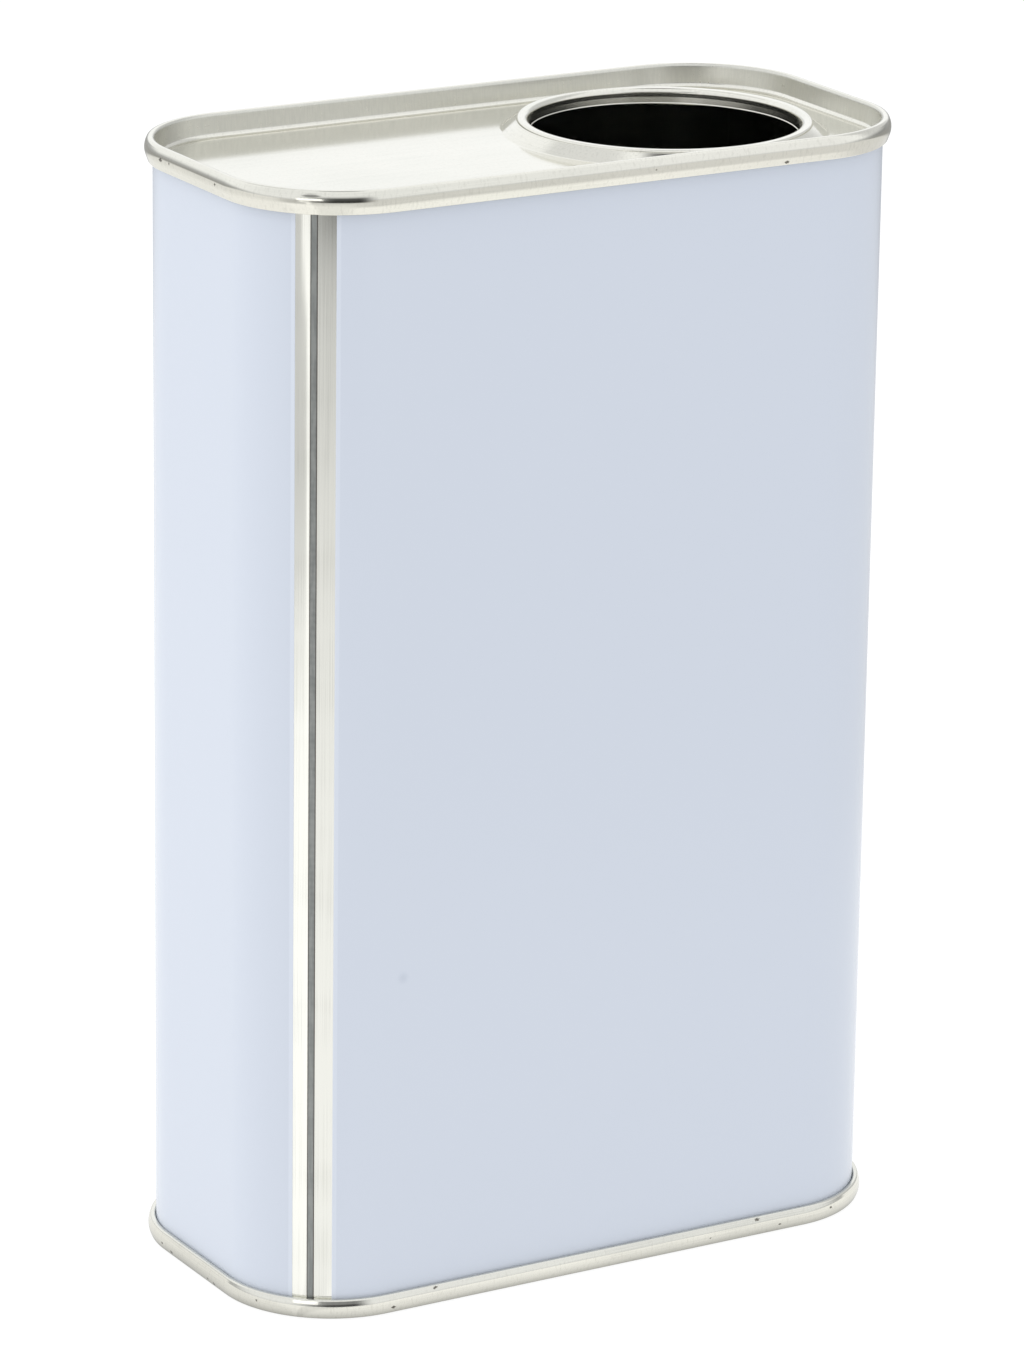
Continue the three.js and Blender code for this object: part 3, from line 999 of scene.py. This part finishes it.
def link_object(name: str, data: ID) -> Object:
    """Make an object of some data and put it in the scene.

    Args:
        name: Name of the object.
        data: Its mesh, curve, light or camera.

    Returns:
        The object.
    """
    made = bpy.data.objects.new(name, data)
    bpy.context.scene.collection.objects.link(made)
    return made


def close_panels(name: str, parts: Sequence[Mesh], finish: Material) -> Mesh:
    """Join swept parts whose open edges lie on level panels, and fill those panels.

    Args:
        name: Name of the mesh.
        parts: Meshes to join. They are used up.
        finish: Material of the whole.

    Returns:
        One closed mesh that faces outwards.
    """
    shape = bmesh.new()
    for part in parts:
        shape.from_mesh(part)
        bpy.data.meshes.remove(part)
    levels: dict[int, list[bmesh.types.BMEdge]] = {}
    for edge in shape.edges:
        if edge.is_boundary:
            levels.setdefault(round(edge.verts[0].co.z / (SAME_LEVEL * MM)), []).append(edge)
    for edges in levels.values():
        bmesh.ops.triangle_fill(shape, edges=edges, use_beauty=True, normal=(0, 0, 1))
    bmesh.ops.recalc_face_normals(shape, faces=shape.faces)
    for face in shape.faces:
        face.smooth = True
    mesh = bpy.data.meshes.new(name)
    shape.to_mesh(mesh)
    shape.free()
    mesh.materials.append(finish)
    return mesh


def hand_over(name: str, mesh: Mesh, node: CadNode, slot: Slot) -> Object:
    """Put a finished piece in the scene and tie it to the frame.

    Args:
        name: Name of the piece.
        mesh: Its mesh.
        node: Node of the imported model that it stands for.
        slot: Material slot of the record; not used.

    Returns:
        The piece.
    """
    piece = link_object(name, mesh)
    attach(piece, ROOT_BODY)
    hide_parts(node.value)
    LOG.info("%s: %d faces, stands for %s", name, len(mesh.polygons), node.value)
    return piece


# Sub-assemblies


@dataclass(frozen=True)
class BodyShell:
    """Welded body: the bent sheet, its lap weld and the lacquer film outside."""

    sizes: CanSizes
    sweep: OutlineSweep
    weld_middle: float = 231.1
    weld_width: float = 1.12
    bare_end_margin: float = 2.3
    bare_front_margin: float = 2.75
    weld_swell: float = 0.03
    ripple_pitch: float = 1.1
    ripple_height: float = 0.012
    ripple_steps: int = 8

    def build(self) -> list[Object]:
        """Make the three pieces of the body and return them."""
        return [self.wall(), self.weld(), self.lacquer()]

    def degrees(self, length: float) -> float:
        """Turn a length along the corner into an angle."""
        return math.degrees(length / self.sizes.corner_radius)

    @property
    def weld_edges(self) -> tuple[float, float]:
        """Angles of the weld's edges on the narrow and on the long side."""
        half = self.degrees(self.weld_width / 2)
        return self.weld_middle - half, self.weld_middle + half

    def seam_line(self, seam_height: float) -> list[Point]:
        """Run along the sheet in a seam, from its hook's raw edge to the wall below, by (outward, depth).

        Args:
            seam_height: Height of the seam.

        Returns:
            Points along the middle of the sheet.
        """
        sizes = self.sizes
        fold = sizes.body_fold_radius
        crest = sizes.body_fold_depth - fold
        line = rounded_line([
            Bend(sizes.body_hook_layer, sizes.body_hook_edge(seam_height)),
            Bend(sizes.body_hook_layer, crest, fold),
            Bend(sizes.body_layer, crest, fold),
            Bend(sizes.body_layer, sizes.lean_foot(seam_height)),
        ])
        return [*sizes.leaned(line, seam_height), (sizes.body_layer, seam_height)]

    def middle_line(self) -> list[Point]:
        """Run along the middle of the sheet, from its lower hook's raw edge to its upper hook's.

        Returns:
            Points along the sheet, by (outward, height).
        """
        low = self.seam_line(self.sizes.bottom_seam_height)
        high = self.seam_line(self.sizes.top_seam_height)
        return [*low, *((out, self.sizes.height - depth) for out, depth in reversed(high))]

    def wall(self) -> Object:
        """Make the body sheet, which runs from one edge of the weld round to the other.

        Returns:
            The piece.
        """
        end_edge, front_edge = self.weld_edges
        finish = Tinplate(
            "body tinplate", Grain.UPRIGHT, tint=(0.86, 0.86, 0.815), dull_tint=(0.76, 0.76, 0.715)
        ).material
        outline = clockwise(sheet_outline(self.middle_line(), self.sizes.body_sheet))
        mesh = self.sweep.mesh("can_body", outline, finish, (front_edge, end_edge))
        return hand_over("can_body", mesh, CadNode.BODY_WALL, Slot.TINPLATE)

    def weld(self) -> Object:
        """Make the weld, a little proud of the sheet and rippled by the welding current.

        Returns:
            The piece.
        """
        sizes = self.sizes
        low = sizes.bottom_seam_height + CREASE_GUARD
        high = sizes.height - sizes.top_seam_height - CREASE_GUARD

        def ripple(height: float) -> float:
            """Give how proud the weld is at a height.

            Args:
                height: The height.

            Returns:
                The swell, with the ripple on it.
            """
            rising = min(height - low, high - height) / self.ripple_pitch
            fade = min(max(rising, 0.0), 1.0)
            wave = math.sin(2 * math.pi * (height - low) / self.ripple_pitch)
            return fade * (self.weld_swell + self.ripple_height * wave)

        line = self.middle_line()
        split = next(i for i, point in enumerate(line) if point[1] > sizes.height / 2)
        steps = round((high - low) / self.ripple_pitch * self.ripple_steps)
        wall = [(sizes.body_layer, low + (high - low) * i / steps) for i in range(steps + 1)]
        middle = [*line[:split], *wall, *line[split:]]
        half = sizes.body_sheet / 2
        inner = offset_line(middle, lambda _: half)
        outer = offset_line(middle, lambda point: -half - ripple(point[1]))
        outline = clockwise([*inner, *reversed(outer)])
        mesh = self.sweep.mesh("weld_strip", outline, WeldSteel().material, self.weld_edges)
        return hand_over("weld_strip", mesh, CadNode.SIDE_SEAM_WELD, Slot.WELD)

    def lacquer(self) -> Object:
        """Make the lacquer film, which stops short of the weld and runs in behind both seams.

        Returns:
            The piece.
        """
        sizes = self.sizes
        low = sizes.bottom_seam_height - sizes.lacquer_tuck
        high = sizes.height - sizes.top_seam_height + sizes.lacquer_tuck
        film = sizes.lacquer_film
        end_edge, front_edge = self.weld_edges
        start = front_edge + self.degrees(self.bare_front_margin)
        end = end_edge - self.degrees(self.bare_end_margin)
        outline = clockwise([(0.0, low), (film, low), (film, high), (0.0, high)])
        mesh = self.sweep.mesh("lacquer_skin", outline, WhiteLacquer().material, (start, end))
        return hand_over("lacquer_skin", mesh, CadNode.LACQUER_COAT, Slot.LACQUER)


@dataclass(frozen=True)
class SeamedEnd:
    """What the lid and the base share: the sunk panel's edge, the folds of a double seam and its ring."""

    names: ClassVar[tuple[str, str]]  # of the end and of the sealing ring in its seam
    nodes: ClassVar[tuple[CadNode, CadNode]]
    sizes: CanSizes
    sweep: OutlineSweep
    seam_height: float
    countersink: float
    foot_tilt: float  # how far the outer wall looks down at its foot, in degrees
    turn_radius: float
    countersink_fillet: float = 0.75
    chuck_radius: float = 3.0
    panel_margin: float = 0.3
    inner_shoulder: float = 0.42
    outer_shoulder: float = 0.5
    bulge: float = 1.175  # widest place of the outer wall, outwards from the body wall
    bulge_depth: float = 1.68
    barrel_radius: float = 2.5
    head_tilt: float = 24.0  # how far the outer wall looks up at its head, in degrees

    def build(self) -> list[Object]:
        """Make the end and the sealing ring in its seam.

        Returns:
            The pieces.
        """
        finish = self.finish().material
        outline = clockwise(self.placed(self.compound_outline()))
        meshes = (
            close_panels(self.names[0], self.parts(finish), finish),
            self.sweep.mesh(self.names[1], outline, SeamCompound().material),
        )
        slots = (Slot.TINPLATE, Slot.COMPOUND)
        return [hand_over(*piece) for piece in zip(self.names, meshes, self.nodes, slots)]

    def finish(self) -> Tinplate:
        """Choose the finish of the end."""
        raise NotImplementedError

    def placed(self, points: Sequence[Point]) -> list[Point]:
        """Turn depths below the crown into heights, which are the same in the base."""
        return list(points)

    def panel_bends(self) -> list[Bend]:
        """List the bends of the panel inside the countersink, by (outward, depth)."""
        return [Bend(self.panel_edge, self.panel_depth)]

    def parts(self, finish: Material) -> list[Mesh]:
        """Sweep the parts of the end that level panels join.

        Args:
            finish: Their material.

        Returns:
            The panel's edge with the seam.
        """
        middle = self.placed(rounded_line([*self.panel_bends(), *self.seam_bends()]))
        outline = sheet_outline(middle, self.sizes.end_sheet)
        return [self.sweep.mesh(self.names[0] + " seam", outline, finish, closed=False)]

    @property
    def panel_depth(self) -> float:
        """Depth of the panel's middle below the crown."""
        return self.countersink + self.sizes.end_sheet / 2

    @property
    def fillet(self) -> float:
        """Radius of the hollow corner round the panel, at the middle of the sheet."""
        return self.countersink_fillet + self.sizes.end_sheet / 2

    @property
    def panel_edge(self) -> float:
        """Where the level panel meets the swept part, outwards from the body wall."""
        return self.sizes.chuck_layer - self.fillet - self.panel_margin

    def outer_bends(self) -> list[Bend]:
        """List the bends of the seam's outer wall, a shallow barrel that draws in towards its foot.

        Returns:
            The crown's outer shoulder, the barrel and the turn at its foot, by (outward, depth).
        """
        head, foot = math.radians(self.head_tilt), -math.radians(self.foot_tilt)
        crown = self.sizes.end_sheet / 2
        turn = self.seam_height - crown
        gain = self.barrel_radius * (1 / math.cos(foot) - 1 / math.cos(head))
        barrel = self.bulge_depth + gain / (math.tan(head) - math.tan(foot))

        def wall(tilt: float, depth: float) -> float:
            """Give how far out the wall is that touches the barrel with the given tilt."""
            reach = self.barrel_radius * (1 / math.cos(tilt) - 1)
            return self.bulge + reach + (depth - self.bulge_depth) * math.tan(tilt)

        return [
            Bend(wall(head, crown), crown, self.outer_shoulder),
            Bend(wall(head, barrel), barrel, self.barrel_radius),
            Bend(wall(foot, turn), turn, self.turn_radius),
        ]

    def seam_bends(self) -> list[Bend]:
        """List the bends from the chuck wall's foot to the cover hook's raw edge, by (outward, depth).

        Returns:
            The bends.
        """
        sizes = self.sizes
        half = sizes.end_sheet / 2
        turn = self.seam_height - half
        lean_foot = sizes.lean_foot(self.seam_height)
        upright = [Bend(sizes.chuck_layer, lean_foot, self.chuck_radius)]
        reach = self.chuck_radius * math.tan(math.atan2(sizes.seam_lean, lean_foot) / 2)
        ends = [(sizes.chuck_layer, half), (sizes.cover_hook_layer, sizes.cover_hook_edge)]
        crown, hook = sizes.leaned(ends, self.seam_height)
        return [
            Bend(sizes.chuck_layer, self.panel_depth, self.fillet),
            *(upright if lean_foot + reach < self.panel_depth - self.fillet else []),
            Bend(*crown, self.inner_shoulder),
            *self.outer_bends(),
            Bend(sizes.cover_hook_layer, turn, self.turn_radius),
            Bend(*hook),
        ]

    def compound_outline(self) -> list[Point]:
        """Draw round the sealing compound under the crown.

        Returns:
            The outline, by (outward, depth).
        """
        sizes = self.sizes
        half = sizes.end_sheet / 2
        reach = sizes.crown_round - half - sizes.compound_clearance
        depth = half + sizes.crown_round
        saddle = sizes.body_fold_radius + sizes.body_sheet / 2 + sizes.compound_clearance
        outline = [
            *arc((sizes.chuck_layer + sizes.crown_round, depth), reach, 180, 270),
            *arc((sizes.outer_layer - sizes.crown_round, depth), reach, 270, 360),
            *arc((sizes.body_fold_middle, sizes.body_fold_depth), saddle, 315, 225),
        ]
        return sizes.leaned(outline, self.seam_height)


@dataclass(frozen=True)
class TopEnd(SeamedEnd):
    """Lid: one drawn piece with a sunk panel, a neck that turns in to a skirt, and its seam's folds."""

    names = ("lid_with_neck", "lid_sealing_ring")
    nodes = (CadNode.TOP_END, CadNode.TOP_SEAM_COMPOUND)
    countersink: float = 3.65
    foot_tilt: float = 20.0
    turn_radius: float = 0.15
    shoulder_depth: float = 1.0  # how far down the seam's inner shoulder is dull
    neck_from_end: float = 29.95
    throat_radius: float = 21.1
    rim_width: float = 1.75
    rim_round: float = 0.65
    rim_outer_round: float = 0.25
    skirt_depth: float = 2.4
    skirt_taper: float = 0.04
    hip_depth: float = 1.2  # where the skirt starts to lean in, below the rim
    hip_round: float = 1.0
    skirt_lean: float = 0.1
    edge_round: float = 0.2
    edge_turn: float = 0.13
    neck_height: float = 2.05
    flare_width: float = 2.4
    flare_height: float = 1.68
    flare_foot_round: float = 0.8
    flare_head_round: float = 0.2
    neck_margin: float = 0.3
    neck_steps: int = 192

    @property
    def neck_middle(self) -> float:
        """Place of the neck's axis along X."""
        return self.sizes.length / 2 - self.neck_from_end

    @property
    def neck_foot(self) -> float:
        """Radius at which the neck leaves the panel."""
        return self.throat_radius + self.rim_width + self.flare_width

    def finish(self) -> Tinplate:
        """Choose the finish of the lid.

        Returns:
            The finish.
        """
        neck = (self.neck_middle, self.neck_foot, self.throat_radius)
        shoulder = self.sizes.height - self.shoulder_depth
        return Tinplate("lid tinplate", Grain.DRAWN_LID, *neck, shoulder, LID_NICKS)

    def placed(self, points: Sequence[Point]) -> list[Point]:
        """Turn depths below the crown into heights."""
        return [(out, self.sizes.height - depth) for out, depth in points]

    def parts(self, finish: Material) -> list[Mesh]:
        """Sweep the seam, and the neck from the panel over the rim to the skirt's raw edge.

        Args:
            finish: Their material.

        Returns:
            The panel's edge with the seam, and the neck.
        """
        half = self.sizes.end_sheet / 2
        panel = self.sizes.height - self.panel_depth
        top = panel + self.neck_height
        rim_outer = self.throat_radius + self.rim_width - half
        rim_inner = self.throat_radius + half
        hip = rim_inner - self.skirt_taper
        edge = top + half - self.skirt_depth
        middle = rounded_line([
            Bend(self.neck_foot + self.neck_margin, panel),
            Bend(self.neck_foot, panel, self.flare_foot_round),
            Bend(rim_outer, panel + self.flare_height, self.flare_head_round),
            Bend(rim_outer, top, self.rim_outer_round),
            Bend(rim_inner, top, self.rim_round),
            Bend(hip, top - self.hip_depth, self.hip_round),
            Bend(hip - self.skirt_lean, edge + self.edge_turn, self.edge_round),
            Bend(hip - self.skirt_lean - self.edge_turn, edge),
        ])
        from_throat = [(out - self.throat_radius, rise) for out, rise in middle]
        outline = sheet_outline(from_throat, self.sizes.end_sheet)
        seam = super().parts(finish)
        neck = NeckSweep().run("lid neck", outline, False, {
            "Finish": finish,
            "Middle": self.neck_middle * MM,
            "Radius": self.throat_radius * MM,
            "Steps": self.neck_steps,
        })
        return [*seam, neck]


@dataclass(frozen=True)
class BottomEnd(SeamedEnd):
    """Base: a pressed panel with a shallow stiffening step, standing on the crown of its seam."""

    names = ("base_panel", "base_sealing_ring")
    nodes = (CadNode.BOTTOM_END, CadNode.BOTTOM_SEAM_COMPOUND)
    countersink: float = 4.4
    foot_tilt: float = 19.0
    turn_radius: float = 0.22
    step_inset: float = 6.0
    step_rise: float = 0.8
    step_run: float = 1.6
    step_round: float = 1.2

    def finish(self) -> Tinplate:
        """Choose the finish of the base, whose tints are darker than the lid's as painted shade beside the
        floor.
        """
        # darker tints than the lid's: painted shade for the seam that stands on the floor
        painted_shade_tints = {"tint": (0.75, 0.74, 0.68), "dull_tint": (0.63, 0.625, 0.575)}
        return Tinplate("base tinplate", Grain.PRESSED_END, nicks=BASE_NICKS, roughness=0.11, **painted_shade_tints)

    def panel_bends(self) -> list[Bend]:
        """List the bends of the stiffening step in the panel.

        Returns:
            The bends, by (outward, depth).
        """
        foot = self.sizes.chuck_layer - self.step_inset
        head = foot - self.step_run
        raised = self.panel_depth + self.step_rise
        return [
            Bend(head - self.panel_margin - self.step_round, raised),
            Bend(head, raised, self.step_round),
            Bend(foot, self.panel_depth, self.step_round),
        ]


# Studio


class FloorZone(NamedTuple):
    """Sector of the floor with its own brightness in reflections, which replaces that to its left."""

    blend: Ramp  # where it takes over, in degrees to the right of the welded corner
    level: Ramp  # brightness by distance from the can, in metres


class SkyPatch(NamedTuple):
    """Round patch of the room that is darker in reflections."""

    middle: tuple[float, float]  # angle from +X and angle above the level, in degrees
    reach: tuple[float, float]  # angles from the middle at which it starts and is full, in degrees
    level: float


class Lamp(NamedTuple):
    """Square lamp that faces the can."""

    name: str
    place: Size
    size: float
    power: float  # in watts


FLOOR_ZONES: Final = (
    FloorZone(Ramp(-45.0, -25.0), Ramp(0.27, 0.52, 1.18, 0.67)),
    FloorZone(Ramp(-9.0, 0.0), Ramp(0.1, 0.8, 1.04, 0.66)),
    FloorZone(Ramp(25.0, 50.0), Ramp(0.14, 0.26, 1.2, 0.83)),
)
SKY_PATCHES: Final = (
    SkyPatch((218.0, 26.0), (9.5, 5.0), 0.35),
    SkyPatch((10.0, 24.0), (37.0, 21.0), 0.66),
    SkyPatch((54.0, 74.0), (10.0, 6.0), 0.06),
    SkyPatch((98.0, 58.0), (17.0, 11.0), 0.78),
)
LAMPS: Final = (
    Lamp("overhead lamp", (-150.0, -100.0, 1300.0), 1100.0, 8.0),
    Lamp("left lamp", (-850.0, 950.0, 600.0), 800.0, 4.1),
)


def heading(turn: float, rise: float = 0.0) -> Vector:
    """Give the direction at an angle from +X towards +Y and one above the level, in degrees."""
    around, up = math.radians(turn), math.radians(rise)
    return Vector((math.cos(around) * math.cos(up), math.sin(around) * math.cos(up), math.sin(up)))


def board(name: str, corners: Sequence[Sequence[float]], material: Material) -> Object:
    """Make a flat object with four corners.

    Args:
        name: Name of the object.
        corners: Its corners in order.
        material: Its material.

    Returns:
        The object.
    """
    mesh = bpy.data.meshes.new(name)
    mesh.from_pydata([Vector(corner) * MM for corner in corners], [], [(0, 1, 2, 3)])
    mesh.materials.append(material)
    return link_object(name, mesh)


@dataclass(frozen=True)
class Studio:
    """White product studio: floor, sky, lamps, a reflector card and the camera."""

    sizes: CanSizes
    view_azimuth: float = -30.418
    view_elevation: float = 17.398
    view_roll: float = 0.764
    view_distance: float = 1032.988
    aim_right: float = -0.328
    aim_up: float = -0.487
    lens: float = 174.36
    clip: tuple[float, float] = (0.05, 50.0)  # in metres
    sky_tint: Colour = (0.79, 0.80, 0.81)
    gloss_tint: Colour = (1.0, 1.015, 1.03)
    sky_half: Ramp = Ramp(-0.3, 0.4)  # from the half behind the can to that before it
    sky_behind: Ramp = Ramp(0.0, 0.2, 0.5, 1.15)
    sky_before: Ramp = Ramp(-0.02, 0.12, 0.80, 1.04)
    sky_shade: Ramp = Ramp(0.16, 0.5, 0.92, 0.0)
    shade_start: Ramp = Ramp(-25.0, 18.0)  # in degrees to the right of the welded corner
    shade_end: Ramp = Ramp(38.0, 58.0, 1.0, 0.0)
    floor_reach: float = 4000.0
    floor_drop: float = 0.05
    floor_tint: Colour = (0.9, 0.9, 0.9)
    mirrored_tint: Colour = (1.0, 1.0, 0.985)
    bounce_tint: Colour = (0.99, 1.0, 1.02)
    bounce_level: float = 1.0
    bounce_share: float = 0.75
    seen_level: float = 1.1
    seen_share: float = 0.8
    floor_plain: Ramp = Ramp(0.2, 0.6, 1.1, 0.95)
    floor_shade: Ramp = Ramp(0.66, 0.82, 0.0, 0.94)
    floor_behind: Ramp = Ramp(-0.7, -0.45, 0.45, 1.0)
    beam_level: float = 1.22
    beam_start: Ramp = Ramp(-12.0, -9.5)
    beam_end: Ramp = Ramp(-7.0, -5.0, 1.0, 0.0)
    beam_spread: Ramp = Ramp(0.62, 0.72, 0.0, 6.0)
    contact_shade: float = 0.55  # how much the can's own foot hides from the floor beside it
    card_way: float = 218.0  # from the welded corner, in degrees from +X
    card_distance: float = 700.0
    card_size: tuple[float, float] = (300.0, 150.0)
    card_foot: float = 150.0
    card_level: float = 1.7

    def set_up(self) -> None:
        """Make the whole studio."""
        bpy.context.scene.view_settings.view_transform = "Standard"
        for part in (self.camera, self.sky, self.floor, self.card, self.lamps):
            part()

    @property
    def towards_camera(self) -> Vector:
        """Level direction from the can to the camera."""
        return heading(self.view_azimuth - 90.0)

    @property
    def welded_corner(self) -> Vector:
        """Foot of the can's corner at -X, -Y."""
        inset = self.sizes.corner_radius * (1 - math.sqrt(0.5))
        return Vector((inset - self.sizes.length / 2, inset - self.sizes.width / 2, 0.0))

    def camera(self) -> None:
        """Place the camera as it stood for the photograph."""
        tilt, roll = math.radians(self.view_elevation), math.radians(self.view_roll)
        back = self.towards_camera * math.cos(tilt) + Vector((0, 0, math.sin(tilt)))
        level = heading(self.view_azimuth)
        upright = back.cross(level)
        right = level * math.cos(roll) + upright * math.sin(roll)
        up = upright * math.cos(roll) - level * math.sin(roll)
        middle = Vector((0, 0, self.sizes.height / 2))
        stand = middle + back * self.view_distance + right * self.aim_right + up * self.aim_up
        camera = bpy.data.cameras.new("camera")
        camera.lens = self.lens
        camera.clip_start, camera.clip_end = self.clip
        holder = link_object("camera", camera)
        axes = Matrix((right, up, back)).transposed()
        holder.matrix_world = Matrix.Translation(stand * MM) @ axes.to_4x4()
        bpy.context.scene.camera = holder

    def sky(self) -> None:
        """Make the world: white to the camera, and to gloss a pale room that is dark behind the camera."""
        world = bpy.data.worlds.new("studio")
        bpy.context.scene.world = world
        world.use_nodes = True
        sheet = NodeSheet(world.node_tree)
        way = sheet.out("ShaderNodeTexCoord", output="Generated")
        rise = sheet.rise(way)
        half = sheet.remap(sheet.vector("DOT_PRODUCT", way, self.towards_camera), self.sky_half)
        level = sheet.mix(half, sheet.remap(rise, self.sky_behind), sheet.remap(rise, self.sky_before))
        shade = self.shade(sheet, self.turn(sheet, way), sheet.remap(rise, self.sky_shade))
        level = sheet.product(level, shade)
        for patch in SKY_PATCHES:
            nearness = sheet.vector("DOT_PRODUCT", way, heading(*patch.middle))
            edges = [math.cos(math.radians(angle)) for angle in patch.reach]
            level = sheet.product(level, sheet.remap(nearness, Ramp(*edges, 1.0, patch.level)))
        inputs = {0: self.gloss_tint, "Scale": level}
        gloss = sheet.out("ShaderNodeVectorMath", inputs, operation="SCALE")
        colour = sheet.mix_colour(sheet.mirrored(), self.sky_tint, gloss)
        colour = sheet.mix_colour(sheet.seen(), colour, (1.0, 1.0, 1.0))
        background = sheet.out("ShaderNodeBackground", {"Color": colour, "Strength": 1.0})
        sheet.add("ShaderNodeOutputWorld", {"Surface": background})

    @staticmethod
    def turn(sheet: NodeSheet, way: Input) -> NodeSocket:
        """Work out the angle of a direction.

        Args:
            sheet: Node tree of the world or of the floor.
            way: The direction.

        Returns:
            The angle, in degrees to the right of the way that the welded corner faces.
        """
        aside = sheet.vector("DOT_PRODUCT", way, heading(WELDED_WAY + 90.0))
        ahead = sheet.vector("DOT_PRODUCT", way, heading(WELDED_WAY))
        return sheet.math("DEGREES", sheet.math("ARCTAN2", aside, ahead))

    def shade(self, sheet: NodeSheet, turn: Input, depth: Input) -> NodeSocket:
        """Give the factor that darkens directions round the camera's, by the given depth at most."""
        sector = sheet.product(sheet.remap(turn, self.shade_start), sheet.remap(turn, self.shade_end))
        return sheet.math("SUBTRACT", 1.0, sheet.product(sector, depth))

    def floor_level(self, sheet: MaterialSheet) -> Input:
        """Work out how bright the floor is in reflections.

        Args:
            sheet: Node tree of the floor's material.

        Returns:
            The brightness.
        """
        sizes, place = self.sizes, sheet.place()
        radius = sizes.corner_radius
        core = Vector((sizes.length / 2 - radius, sizes.width / 2 - radius, 0.0)) * MM
        beyond = sheet.vector("SUBTRACT", sheet.vector("ABSOLUTE", place), core)
        reach = sheet.vector("LENGTH", sheet.vector("MAXIMUM", beyond, (0.0, 0.0, 0.0)))
        turn = self.turn(sheet, sheet.vector("SUBTRACT", place, self.welded_corner * MM))
        level = sheet.remap(reach, self.floor_plain)
        for zone in FLOOR_ZONES:
            level = sheet.mix(sheet.remap(turn, zone.blend), level, sheet.remap(reach, zone.level))
        widened = sheet.math("ADD", turn, sheet.remap(reach, self.beam_spread))
        beam = sheet.product(sheet.remap(widened, self.beam_start), sheet.remap(turn, self.beam_end))
        level = sheet.mix(beam, level, self.beam_level)
        shade = self.shade(sheet, turn, sheet.remap(reach, self.floor_shade))
        ahead = sheet.vector("DOT_PRODUCT", place, self.towards_camera)
        edge = (radius + sizes.outer_layer) * MM
        away = sheet.math("MAXIMUM", sheet.math("SUBTRACT", reach, edge), 0.0)
        hidden = sheet.math("DIVIDE", self.contact_shade * MM, sheet.math("ADD", away, MM))
        clear = sheet.math("SUBTRACT", 1.0, hidden)
        return sheet.product(level, shade, sheet.remap(ahead, self.floor_behind), clear)

    def floor(self) -> None:
        """Lay the white floor, which keeps a soft shadow and dims away from the can in reflections."""
        sheet = MaterialSheet("white floor")
        white = sheet.out("ShaderNodeBsdfDiffuse", {"Color": (*self.floor_tint, 1.0)})
        seen = sheet.mix_shader(self.seen_share, white, sheet.glow(self.seen_level))
        matt = sheet.mix_shader(self.bounce_share, white, sheet.glow(self.bounce_level, self.bounce_tint))
        gloss = sheet.glow(self.floor_level(sheet), self.mirrored_tint)
        unseen = sheet.mix_shader(sheet.mirrored(), matt, gloss)
        sheet.show(sheet.mix_shader(sheet.seen(), unseen, seen))
        half = self.floor_reach
        plan = ((-half, -half), (half, -half), (half, half), (-half, half))
        board("floor", [(*corner, -self.floor_drop) for corner in plan], sheet.material)

    def card(self) -> None:
        """Hang a bright card to the left of the camera, upright and seen only in reflections."""
        sheet = MaterialSheet("bright card")
        sheet.show(sheet.glow(self.card_level))
        width, height = self.card_size
        foot = Vector((0, 0, self.card_foot))
        middle = self.welded_corner + heading(self.card_way) * self.card_distance + foot
        across = heading(self.card_way + 90.0) * (width / 2)
        left, right, rise = middle - across, middle + across, Vector((0, 0, height))
        card = board("bright card", [left, right, right + rise, left + rise], sheet.material)
        card.visible_camera = False
        card.visible_diffuse = False
        card.visible_shadow = False

    def lamps(self) -> None:
        """Hang a broad soft lamp overhead and a weaker one on the left, out of all reflections."""
        for lamp in LAMPS:
            light = bpy.data.lights.new(lamp.name, "AREA")
            light.size = lamp.size * MM
            light.energy = lamp.power
            holder = link_object(lamp.name, light)
            holder.visible_glossy = False
            holder.location = Vector(lamp.place) * MM
            aim = Vector((0, 0, self.sizes.height / 2)) - Vector(lamp.place)
            holder.rotation_euler = aim.to_track_quat("-Z", "Y").to_euler()


def main() -> None:
    """Build the studio and the can, one sub-assembly after another."""
    logging.basicConfig(level=logging.INFO, format="%(name)s: %(message)s")
    sizes = CanSizes.from_frame()
    LOG.info("body %.2f x %.2f mm, %.2f mm high", sizes.length, sizes.width, sizes.height)
    Studio(sizes).set_up()
    sweep = OutlineSweep(sizes)
    assemblies = (
        BodyShell(sizes, sweep),
        TopEnd(sizes, sweep, sizes.top_seam_height),
        BottomEnd(sizes, sweep, sizes.bottom_seam_height),
    )
    pieces = [piece for assembly in assemblies for piece in assembly.build()]
    LOG.info("%d pieces made", len(pieces))


if __name__ == "__main__":
    main()
